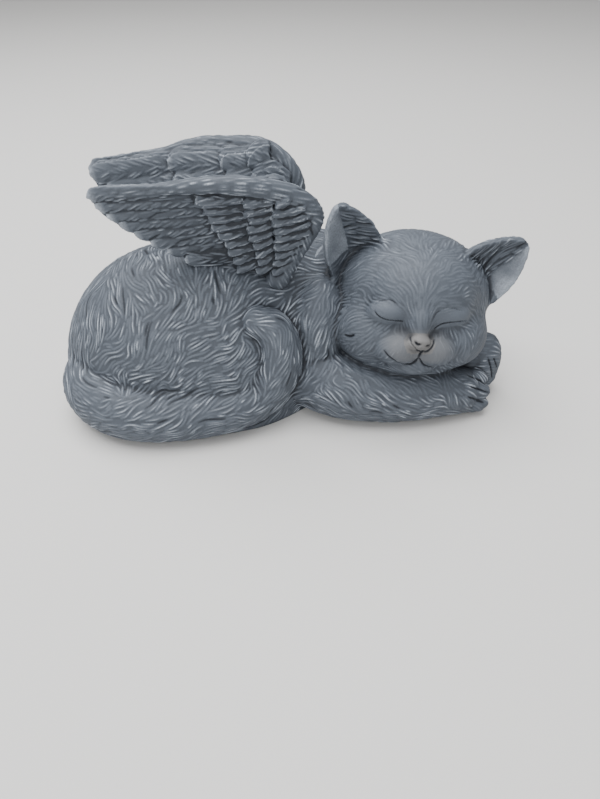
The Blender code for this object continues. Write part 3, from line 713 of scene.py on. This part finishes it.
def carveCoat(coat):
    mesh = coat.data
    points, normals = pointsOf(mesh), normalsOf(mesh)
    face = facePlaces(points)
    onFace = face[:, 1] < faceMap["front"]
    bareNose = onFace & (outFrom(face, "nose") < 1)
    muzzle, lids = [
        np.clip(faceMap["softness"] - outFrom(face, area), 0, 1) * onFace for area in ("muzzle", "lids")]
    onHead = np.linalg.norm(points - np.array(head["centre"]), axis=1) < head["reach"]
    inEar, flap = earPlaces(points, normals)
    allowed = (points[:, 2] > casting["footing"]) & ~bareNose & ~flap
    print("kitten: laying the fur")
    tree = treeOf(coat)
    flow = flowOver(tree, points, normals)
    fineFur = onHead & ~inEar & (face[:, 1] < faceMap["fineFurTo"])
    crest, rise = np.zeros(len(points)), np.zeros(len(points))
    for look, where in ((fur, allowed & ~fineFur), (faceFur, allowed & fineFur)):
        strands = layStrands(coat, points, flow, where, look)
        print("kitten: carving", len(strands), "strands of fur")
        height = strandCrests(points, strands, look, where)
        crest += height
        rise += look["height"] * height
    shag = faceMap["shag"]
    out = np.hypot(face[:, 0] - shag["middle"][0], face[:, 2] - shag["middle"][1]) / shag["reach"]
    shaggy = np.clip(shag["edge"] - out, 0, 1) * (face[:, 1] < shag["back"]) * onHead
    calm = 1 - np.maximum(faceMap["calm"][0] * muzzle, faceMap["calm"][1] * lids)
    strength = calm + shag["gain"] * shaggy + faceMap["earGain"] * inEar
    cut = cutLines(tree, points, carvedCuts)
    points = points + normals * (rise * strength - cut)[:, None]
    points[:, 2] = np.where(points[:, 2] < casting["footing"], 0, points[:, 2])
    movePoints(mesh, points)
    normals = normalsOf(mesh)
    brushed = crest * np.where(fineFur, paint["faceBrushAndShade"], 1)
    smooth = np.where(flap, paint["flapBrush"], paint["plain"])
    ridge = np.where(allowed, brushed * calm + paint["plain"] * (1 - calm), smooth)
    # The hollows, the cuts and the shelter set the painted shade, less of it on the flaps of the ears
    return {
        "points": points, "normals": normals,
        "ridge": ridge, "hollow": hollowness(mesh, points, normals), "cut": cut,
        "bare": np.maximum(faceMap["bareMuzzle"] * muzzle, bareNose),
        "shelter": shelterAt(points) * np.where(flap, paint["flapShelter"], 1),
    }


# The wings in their own space: x along the body, w outwards from the plane between them, z up
wings = {
    "plane": -5.5, "farShift": -4, "rootHeight": 38, "rimHeight": 60.5, "step": 0.9,
    # How much higher the far wing's wrist is, where in x, how widely, and from what height over what height
    "wristRise": 3, "wristAt": -2.5, "wristSpread": 4.4, "wristFrom": 46, "wristOver": 12,
    # How far the wing stands out at its root, how much it leans by the rim, and the curl of its upper part
    "out": 4.6, "lean": 2.9, "curl": 5, "curlPower": 2.6, "curlAt": -18, "curlSpread": 22,
    "climb": (-0.2, 1.2), "thickness": 2.6, "rootThicker": 1.35, "thinner": 0.75, "span": 46,
    "rim": [
        (2.6, 50), (2, 55), (-2.4, 58.4), (-9, 60.6), (-16, 61.4), (-23, 60.8), (-31, 59), (-39, 57.3),
        (-45.4, 56),
    ],
    "lower": [
        (-5, 34), (-11, 34), (-17, 35), (-24, 38), (-30, 43.4), (-35, 46.4), (-40, 48.8), (-43.6, 52),
        (-45.4, 55.4),
    ],
    "arm": [
        (-5.4, 35, 3), (-2, 41.5, 2.7), (1, 47, 2.6), (2.8, 51.6, 2.5), (0.2, 55.6, 2.5),
        (-5.4, 58.6, 2.3), (-13, 60.8, 1.9), (-21, 60.6, 1.6), (-30, 58.8, 1.2), (-41, 56.8, 0.9),
    ],
    "frontPlaces": 7,  # how many places of the arm make the wing's front edge
    "armOut": 0.3,  # how much of its radius the arm stands out from the plate
    "armReach": 0.35,  # how near to the arm its own hair grows
    "armTurn": ((0, 0.38, 0.5), (48, 40, 4)),  # its slant in degrees at these shares of the arm's length
    "barbTurn": {"flight": (30, 8), "tongue": (14, -14), "broad": (22, -22)},  # under and over the quill
    "seed": 3, "shadeGain": (1.35, 0.6),  # how dark the painted shade makes the near and the far wing in their recesses, the shaded near one most
    "gaps": (1.9, 0.7),  # and how dark the painted shade is in the gaps between their feathers
}

barbs = {**fur, "cell": 0.27, "steps": 7, "halfWidth": 0.33, "height": 0.24, "lock": 1.6, "grooved": 0.03}

# The form of a feather. A tongue is a short one on the outer face, lifted along its edges too.
blade = {
    "tongueLength": 12, "tongue": (0.45, 0.9), "tongueArch": 0.6, "tongueRound": 2.5, "tongueTilt": 0.15,
    "broad": (0.15, 0.6), "broadArch": 0.8,
    "point": 0.62, "root": 0.72, "swell": 3, "blunt": 0.02, "narrowest": 0.01,
    "leastRise": 0.3, "sunk": 0.2, "rows": 21, "columns": 9, "edges": (6, 10),
}

# The rows of feathers, as (x, z) on the wing, from its top to its bottom. A share of the way down the row,
# raised to the second value of tipIn or tipDrop, sets how much of the first value applies.
plumage = {
    "flight": {
        "count": 8, "root": (-15.5, 59.6), "rootBack": 2, "rootDrop": 18, "tip": (-46, 56.4),
        "tipIn": (19, 1.45), "tipDrop": (16, 0.95), "width": 4.6, "narrowing": 1.2, "lift": -0.2,
    },
    "tongue": {
        "count": 9,
        "columns": (((-22, -15), (-12.4, -9.6)), ((-12.6, -9.8), (-6.2, -6)), ((-6, -6.2), (2, 2))),
        "top": 58.4, "drop": 20, "tipStray": 0.6, "droop": (0.4, 1.8), "droopStray": 0.3,
        "baseUp": 0.9, "tipUp": 0.6, "width": (2.4, 2.9), "lift": (0.7, 0.5),
    },
    "inner": {
        "count": 4, "root": (-22, 57.4), "rootDrop": 13, "tip": (-45.6, 55.6),
        "tipIn": (14, 1.3), "tipDrop": 11, "width": 4.6,
    },
    "broad": {
        "count": 5, "tiers": ((-27, -24, 17), (-14.5, -11.5, 11), (-8, -5, 9)), "top": 57.4, "drop": 16.5,
        "stray": 0.6, "baseDown": 0.3, "width": 5, "lift": (0.45, 0.5),
    },
    "edgeIn": 0.4,  # how far before the wing's front edge a feather may start
}


# How far the middle of the wing stands out from the plane between the wings
def wingSweep(x, z):
    climb = (z - wings["rootHeight"]) / (wings["rimHeight"] - wings["rootHeight"])
    climb = np.clip(climb, *wings["climb"])
    curl = np.exp(-(((x - wings["curlAt"]) / wings["curlSpread"]) ** 2))
    return wings["out"] + wings["lean"] * climb + wings["curl"] * np.abs(climb) ** wings["curlPower"] * curl


def wingFrame(x, z):
    step = 0.2
    slopeX = (wingSweep(x + step, z) - wingSweep(x - step, z)) / (2 * step)
    slopeZ = (wingSweep(x, z + step) - wingSweep(x, z - step)) / (2 * step)
    normal = np.array([-slopeX, 1.0, -slopeZ])
    return np.array([x, wingSweep(x, z), z]), normal / np.linalg.norm(normal)


def wingHalf(x):
    along = np.clip(-x / wings["span"], 0, 1)
    return wings["thickness"] / 2 * (wings["rootThicker"] - wings["thinner"] * along)


def frontEdge(z):
    front = wings["arm"][: wings["frontPlaces"]]
    return np.interp(z, [row[1] for row in front], [row[0] for row in front])


# How far a feather stands off the plate at s of the way to its tip and t of the way to its edge
def bladeRise(x, length, lift, side, s, t):
    if side > 0 and length < blade["tongueLength"]:
        root, rise = blade["tongue"]
        arch = 1 - blade["tongueArch"] * np.abs(t) ** blade["tongueRound"] + blade["tongueTilt"] * t
        return wingHalf(x) + wings["step"] * (lift + root + rise * s) * arch
    root, rise = blade["broad"]
    return wingHalf(x) + wings["step"] * (lift + (root + rise * s) * (1 - blade["broadArch"] * t * t))


def bladeHalf(width, length, s):
    fromTip = np.minimum(1, (1 - s) * length / (width * blade["point"]) + blade["blunt"])
    full = blade["root"] + (1 - blade["root"]) * np.minimum(1, blade["swell"] * s)
    return width / 2 * full * np.sqrt(np.maximum(1 - (1 - fromTip) ** 2, blade["narrowest"]))


# A blade on one face of the wing: round-ended, arched across and lifted at its tip
def featherPoints(base, tip, width, lift, side):
    start, end = np.array(base, float), np.array(tip, float)
    along = end - start
    length = np.linalg.norm(along)
    along /= length
    across = np.array([-along[1], along[0]])
    over, under = [], []
    for s in np.linspace(0, 1, blade["rows"]):
        halfWidth = bladeHalf(width, length, s)
        top, bottom = [], []
        for t in np.linspace(-1, 1, blade["columns"]):
            x, z = start + along * length * s + across * halfWidth * t
            place, normal = wingFrame(x, z)
            rise = max(bladeRise(x, length, lift, side, s, t), blade["leastRise"])
            top.append(place + side * normal * rise)
            bottom.append(place + side * normal * wingHalf(x) * blade["sunk"])
        over.append(top)
        under.append(bottom)
    return np.array(over), np.array(under)


# Every feather of one wing: base, tip, width, lift and which face it lies on. The outer face has flight
# feathers and columns of tongues, each a little out of line, and the inner face has tiers of broad feathers.
def featherPlan():
    chance = np.random.default_rng(wings["seed"])
    found = []
    row = plumage["flight"]
    for k in np.arange(row["count"]) / (row["count"] - 1):
        base = (row["root"][0] - row["rootBack"] * (1 - k) ** 2, row["root"][1] - row["rootDrop"] * k)
        (inward, inBend), (drop, dropBend) = row["tipIn"], row["tipDrop"]
        tip = (row["tip"][0] + inward * k**inBend, row["tip"][1] - drop * k**dropBend)
        found.append((base, tip, row["width"] - row["narrowing"] * abs(k - 0.5), row["lift"], 1))
    row = plumage["tongue"]
    for column, (tips, bases) in enumerate(row["columns"]):
        for k in (np.arange(row["count"]) + 0.5) / row["count"]:
            z = row["top"] - row["drop"] * k
            x, root = tips[0] + (tips[1] - tips[0]) * k, bases[0] + (bases[1] - bases[0]) * k
            x += chance.uniform(-row["tipStray"], row["tipStray"])
            droop = row["droop"][0] + row["droop"][1] * k
            droop += chance.uniform(-row["droopStray"], row["droopStray"])
            base = (min(root, frontEdge(z) + plumage["edgeIn"]), z + row["baseUp"])
            tip, width = (x, z + row["tipUp"] - droop), chance.uniform(*row["width"])
            found.append((base, tip, width, row["lift"][0] + row["lift"][1] * column, 1))
    row = plumage["inner"]
    for k in np.arange(row["count"]) / (row["count"] - 1):
        base = (row["root"][0], row["root"][1] - row["rootDrop"] * k)
        tip = (row["tip"][0] + row["tipIn"][0] * k ** row["tipIn"][1], row["tip"][1] - row["tipDrop"] * k)
        found.append((base, tip, row["width"], 0, -1))
    row = plumage["broad"]
    for tier, (topX, lowX, length) in enumerate(row["tiers"]):
        for k in np.arange(row["count"]) / (row["count"] - 1):
            x = topX + (lowX - topX) * k + chance.uniform(-row["stray"], row["stray"])
            z = row["top"] - row["drop"] * k
            base = (min(x + length, frontEdge(z) + plumage["edgeIn"]), z - row["baseDown"])
            found.append((base, (x, z), row["width"], row["lift"][0] + row["lift"][1] * tier, -1))
    return found


# The far wing's wrist stands higher than the near one's
def farRise(x, z):
    near = np.exp(-(((x - wings["wristAt"]) / wings["wristSpread"]) ** 2))
    return wings["wristRise"] * near * np.clip((z - wings["wristFrom"]) / wings["wristOver"], 0, 1)


def wingToBody(points, hand):
    placed = np.array(points, float)
    if hand > 0:
        placed[..., 2] += farRise(placed[..., 0], placed[..., 2])
        placed[..., 0] += wings["farShift"]
    placed[..., 1] = wings["plane"] + hand * placed[..., 1]
    return placed


def bodyToWing(points, hand):
    found = np.array(points, float)
    found[:, 1] = hand * (found[:, 1] - wings["plane"])
    if hand > 0:
        found[:, 0] -= wings["farShift"]
        height, turns = found[:, 2].copy(), 6
        for _ in range(turns):
            found[:, 2] = height - farRise(found[:, 0], found[:, 2])
    return found


# Which way the barbs run at each point, how near its feather's edge it is, and how much painted shade lies
# there at the root of its feather
def barbsOver(points, normals, hand):
    placed = bodyToWing(points, hand)
    x, z = placed[:, 0], placed[:, 2]
    faces = np.sign(placed[:, 1] - wingSweep(x, z))
    highest = np.full(len(points), -1.0)
    ways = np.tile((-1.0, 0.0, 0.0), (len(points), 1))
    edge, rootShade = np.zeros(len(points)), np.zeros(len(points))
    for base, tip, width, lift, side in featherPlan():
        start, reach = np.array(base, float), np.array(tip, float) - np.array(base, float)
        length = np.linalg.norm(reach)
        way = reach / length
        s = ((x - start[0]) * way[0] + (z - start[1]) * way[1]) / length
        aside = (z - start[1]) * way[0] - (x - start[0]) * way[1]
        t = aside / bladeHalf(width, length, np.clip(s, 0, 1))
        rise = bladeRise(x, length, lift, side, s, t)
        on = (s > 0) & (s < 1) & (np.abs(t) < 1) & (faces == side) & (rise > highest)
        kind = "broad" if side < 0 else "tongue" if length < blade["tongueLength"] else "flight"
        below, above = np.radians(wings["barbTurn"][kind])
        turn = np.where(t[on] > 0, below, above)
        highest[on] = rise[on]
        ways[on] = np.stack([way[0] * np.cos(turn) - way[1] * np.sin(turn), np.zeros(on.sum()),
                             way[1] * np.cos(turn) + way[0] * np.sin(turn)], axis=1)
        edge[on] = np.maximum(np.abs(t[on]) ** blade["edges"][0], s[on] ** blade["edges"][1])
        reached, depth = paint["rootShade"][kind]
        rootShade[on] = depth * np.clip((reached - s[on]) / paint["rootShadeFade"], 0, 1)
    return laidFlat(ways, normals), edge, rootShade


def makeWing(hand):
    rim, lower = smoothPath(wings["rim"], 5), smoothPath(wings["lower"], 5)
    faces = {1: [], -1: []}
    for (x0, z0), (x1, z1) in zip(lower, rim):
        for side in faces:
            row = []
            for v in np.linspace(0, 1, 24):
                x, z = x0 + (x1 - x0) * v, z0 + (z1 - z0) * v
                place, normal = wingFrame(x, z)
                row.append(place + side * normal * wingHalf(x))
            faces[side].append(row)
    pieces = [shell(wingToBody(faces[1], hand), wingToBody(faces[-1], hand))]
    arm = []
    for x, z, radius in wings["arm"]:
        place, normal = wingFrame(x, z)
        arm.append((*wingToBody(place + normal * wings["armOut"] * radius, hand), radius))
    pieces += limb(arm)
    for base, tip, width, lift, side in featherPlan():
        over, under = featherPoints(base, tip, width, lift, side)
        pieces.append(shell(wingToBody(over, hand), wingToBody(under, hand)))
    return fused(pieces, casting["wingGrain"], casting["wingPasses"]), np.array(arm)


# Strokes over a wing: barbs slanting off each feather, and hair along the arm and the rim
def carveWing(hand, wing, arm):
    mesh = wing.data
    points, normals = pointsOf(mesh), normalsOf(mesh)
    flow, edge, rootShade = barbsOver(points, normals, hand)
    path = smoothPath(arm, 8)
    gaps = np.linalg.norm(points[:, None] - path[None, :, :3], axis=2) - path[None, :, 3]
    which = gaps.argmin(axis=1)
    onArm = gaps.min(axis=1) < wings["armReach"]
    along = laidFlat(np.gradient(path[:, :3], axis=0)[which], normals)
    shares, turns = wings["armTurn"]
    slant = np.radians(np.interp(which, [share * len(path) for share in shares], turns))[:, None] * -hand
    along = along * np.cos(slant) + np.cross(normals, along) * np.sin(slant)
    flow[onArm] = along[onArm]
    strands = layStrands(wing, points, flow, np.ones(len(points), bool), barbs)
    print("kitten: carving", len(strands), "barbs")
    crest = strandCrests(points, strands, barbs, np.ones(len(points), bool))
    points = points + normals * (barbs["height"] * crest)[:, None]
    ridge = np.where(onArm, crest, np.maximum(paint["barbBrush"] * crest, edge))
    movePoints(mesh, points)
    normals = normalsOf(mesh)
    zeros = np.zeros(len(points))
    # Painted shade in the hollows, the gaps and the roots of the feathers, and where the wing is shut in;
    # more on the near wing
    hollow = wings["gaps"][hand > 0] * hollowness(mesh, points, normals) + np.where(onArm, 0, rootShade)
    return wing, {
        "points": points, "normals": normals, "ridge": ridge, "hollow": hollow,
        "cut": zeros, "bare": zeros, "shelter": wings["shadeGain"][hand > 0] * shelterAt(points),
    }


# A named piece of the finished skin, or of its span in x, thinned to the limit, in metres
def finishPiece(name, skin, facts, span=None):
    mesh = skin.data
    quads = fieldOf(mesh.loops, "vertex_index").reshape(-1, 4)
    if span:
        middles = facts["points"][quads].mean(axis=1)[:, 0]
        quads = quads[(middles >= span[0]) & (middles < span[1])]
    used, local = np.unique(quads, return_inverse=True)
    made = bpy.data.meshes.new(name)
    made.from_pydata(facts["points"][used], [], local.reshape(-1, 4))
    piece = newPiece(name, made)
    triangles = 2 * len(quads)
    if triangles > casting["mostTriangles"]:
        thin = piece.modifiers.new("Facets", "DECIMATE")
        thin.ratio = casting["mostTriangles"] / triangles
        piece = baked(piece)
        piece.name = name
    mesh = piece.data
    tree = KDTree(len(used))
    for index in used:
        tree.insert(facts["points"][index], index)
    tree.balance()
    points = pointsOf(mesh)
    nearest = np.array([tree.find(point)[1] for point in points])
    for fact in ("ridge", "hollow", "cut", "bare", "shelter"):
        layer = mesh.attributes.new(fact, "FLOAT", "POINT")
        layer.data.foreach_set("value", facts[fact][nearest].astype(np.float32))
    form = bmesh.new()
    form.from_mesh(mesh)
    seam = [vertex.index for vertex in form.verts if vertex.is_boundary]
    form.free()
    movePoints(mesh, points * mm)
    mesh.shade_smooth()
    if seam:
        normals = normalsOf(mesh)
        normals[seam] = facts["normals"][nearest[seam]]
        mesh.normals_split_custom_set_from_vertices(normals)
    print("kitten:", name, "has", sum(len(face.vertices) - 2 for face in mesh.polygons), "triangles")
    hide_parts(casting["node"])
    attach(piece, "root")
    return piece


def newGroup(name, sockets):
    group = bpy.data.node_groups.new(name, "ShaderNodeTree")
    for socket, side, kind in sockets:
        group.interface.new_socket(socket, in_out=side, socket_type=kind)
    inside = group.nodes.new("NodeGroupInput")
    outside = group.nodes.new("NodeGroupOutput")
    return group, inside, outside


def addNode(tree, kind, inputs=(), **settings):
    node = tree.nodes.new(kind)
    for name, value in settings.items():
        setattr(node, name, value)
    for socket, value in dict(inputs).items():
        if isinstance(value, bpy.types.NodeSocket):
            tree.links.new(value, node.inputs[socket])
        else:
            node.inputs[socket].default_value = value
    return node


def mapped(tree, value, low, high, least=0, most=1):
    ends = {"Value": value, "From Min": low, "From Max": high, "To Min": least, "To Max": most}
    return addNode(tree, "ShaderNodeMapRange", ends).outputs["Result"]


def product(tree, first, second):
    return addNode(tree, "ShaderNodeMath", {0: first, 1: second}, operation="MULTIPLY").outputs[0]


# The colour sockets of a Mix node are its inputs 6 and 7 and its output 2
def blended(tree, factor, first, second):
    return addNode(tree, "ShaderNodeMix", {0: factor, 6: first, 7: second}, data_type="RGBA").outputs[2]


def noiseAt(tree, place, scale, detail):
    inputs = {"Vector": place, "Scale": scale, "Detail": detail}
    return addNode(tree, "ShaderNodeTexNoise", inputs).outputs["Fac"]


# Colour and roughness from how high on a ridge, how deep in a hollow and how shut in the surface is:
# dry-brushed pale on the ridges, and painted shade in the deep colour where it is low, hollow, cut or shut in
def paintGroup():
    colours = [(name, "INPUT", "NodeSocketColor") for name in ("Base", "Pale", "Deep", "Bare")]
    group, inside, outside = newGroup("dryBrushedResinWithPaintedShade", [
        *colours, ("Colour", "OUTPUT", "NodeSocketColor"), ("Roughness", "OUTPUT", "NodeSocketFloat"),
    ])
    ridge, hollow, cut, bare, shut = [
        addNode(group, "ShaderNodeAttribute", attribute_name=name).outputs["Fac"]
        for name in ("ridge", "hollow", "cut", "bare", "shelter")]
    place = addNode(group, "ShaderNodeTexCoord").outputs["Object"]
    patches = noiseAt(group, place, paint["patchScale"], 3)
    grain = noiseAt(group, place, paint["grainScale"], 2)
    brushing, shadePainting = paint["brushing"], paint["shadePainting"]
    brushed = mapped(group, ridge, paint["plain"], paint["full"])
    for fact, name in ((patches, "patches"), (grain, "grain"), (shut, "shelter")):
        brushed = product(group, brushed, mapped(group, fact, *brushing[name]))
    bareness = mapped(group, bare, *paint["bareness"])
    body = blended(group, bareness, inside.outputs["Base"], inside.outputs["Bare"])
    colour = blended(group, brushed, body, inside.outputs["Pale"])
    # Painted shade: the deep colour where the surface is shut in, low between ridges, hollow or cut
    for fact, name in ((shut, "shelter"), (ridge, "ridge"), (hollow, "hollow"), (cut, "cut")):
        colour = blended(group, mapped(group, fact, *shadePainting[name]), colour, inside.outputs["Deep"])
    group.links.new(colour, outside.inputs["Colour"])
    group.links.new(mapped(group, grain, *paint["roughness"]), outside.inputs["Roughness"])
    return group


def newMaterial(name):
    material = bpy.data.materials.new(name)
    material.use_nodes = True
    return material, material.node_tree, material.node_tree.nodes["Principled BSDF"]


def makeResin(name, look):
    material, tree, shader = newMaterial(name)
    painted = addNode(tree, "ShaderNodeGroup", node_tree=bpy.data.node_groups["dryBrushedResinWithPaintedShade"])
    for socket in ("Base", "Pale", "Deep", "Bare"):
        painted.inputs[socket].default_value = (*look[socket.lower()], 1)
    place = addNode(tree, "ShaderNodeTexCoord").outputs["Object"]
    pores = {"Height": noiseAt(tree, place, look["poreScale"], 2)}
    pores.update(Strength=look["poreStrength"], Distance=look["poreDepth"])
    bump = addNode(tree, "ShaderNodeBump", pores)
    tree.links.new(painted.outputs["Colour"], shader.inputs["Base Color"])
    tree.links.new(painted.outputs["Roughness"], shader.inputs["Roughness"])
    tree.links.new(bump.outputs["Normal"], shader.inputs["Normal"])
    shader.inputs["Specular IOR Level"].default_value = look["specular"]
    return material


light = {
    "top": {"place": (-0.12, 0.05, 0.55), "size": 0.6, "power": 7.8},
    "front": {"place": (-0.12, -0.5, 0.3), "size": 0.5, "power": 1.7},
    "world": 0.5,
}
floorLook = {"size": 3, "colour": (0.60, 0.595, 0.585), "roughness": 0.8}


def makeStage():
    mesh = bpy.data.meshes.new("floor")
    half = floorLook["size"] / 2
    corners = [(-half, -half, 0), (half, -half, 0), (half, half, 0), (-half, half, 0)]
    mesh.from_pydata(corners, [], [(0, 1, 2, 3)])
    floor = newPiece("floor", mesh)
    material, _, shader = newMaterial("paleCard")
    shader.inputs["Base Color"].default_value = (*floorLook["colour"], 1)
    shader.inputs["Roughness"].default_value = floorLook["roughness"]
    mesh.materials.append(material)
    for name in ("top", "front"):
        look = light[name]
        lamp = bpy.data.lights.new(name + "Light", "AREA")
        lamp.size = look["size"]
        lamp.energy = look["power"]
        holder = newPiece(name + "Light", lamp)
        holder.location = look["place"]
        holder.rotation_euler = (-Vector(look["place"])).to_track_quat("-Z", "Y").to_euler()
    world = bpy.data.worlds.new("room")
    world.use_nodes = True
    world.node_tree.nodes["Background"].inputs["Color"].default_value = (1, 1, 1, 1)
    world.node_tree.nodes["Background"].inputs["Strength"].default_value = light["world"]
    bpy.context.scene.world = world


def makeCamera():
    lens = bpy.data.cameras.new("camera")
    lens.sensor_width = view["frame"]
    lens.lens = view["lens"]
    lens.clip_start = 0.01
    camera = newPiece("camera", lens)
    camera.location = Vector(view["place"]) * mm
    camera.rotation_euler = (math.radians(view["tilt"]), 0, 0)
    bpy.context.scene.camera = camera


makeCamera()
makeStage()
paintGroup()
resin = makeResin("greyResin", paint)

print("kitten: building the coat")
coat = makeCoat()
print("kitten: building the wings")
wingParts = {"nearWing": (-1, *makeWing(-1)), "farWing": (1, *makeWing(1))}
sheltered = shelterOver([coat] + [part[1] for part in wingParts.values()])
coatFacts = carveCoat(coat)
edges = (-casting["endless"], *casting["seams"], casting["endless"])
shown = []
spans = zip(edges, edges[1:])
for name, span in zip(("kittenRump", "kittenFlank", "kittenShoulder", "kittenHead"), spans):
    shown.append(finishPiece(name, coat, coatFacts, span))
bpy.data.objects.remove(coat)
for name, part in wingParts.items():
    print("kitten: carving the", name)
    wing, wingFacts = carveWing(*part)
    shown.append(finishPiece(name, wing, wingFacts))
    bpy.data.objects.remove(wing)
for piece in shown:
    piece.data.materials.append(resin)
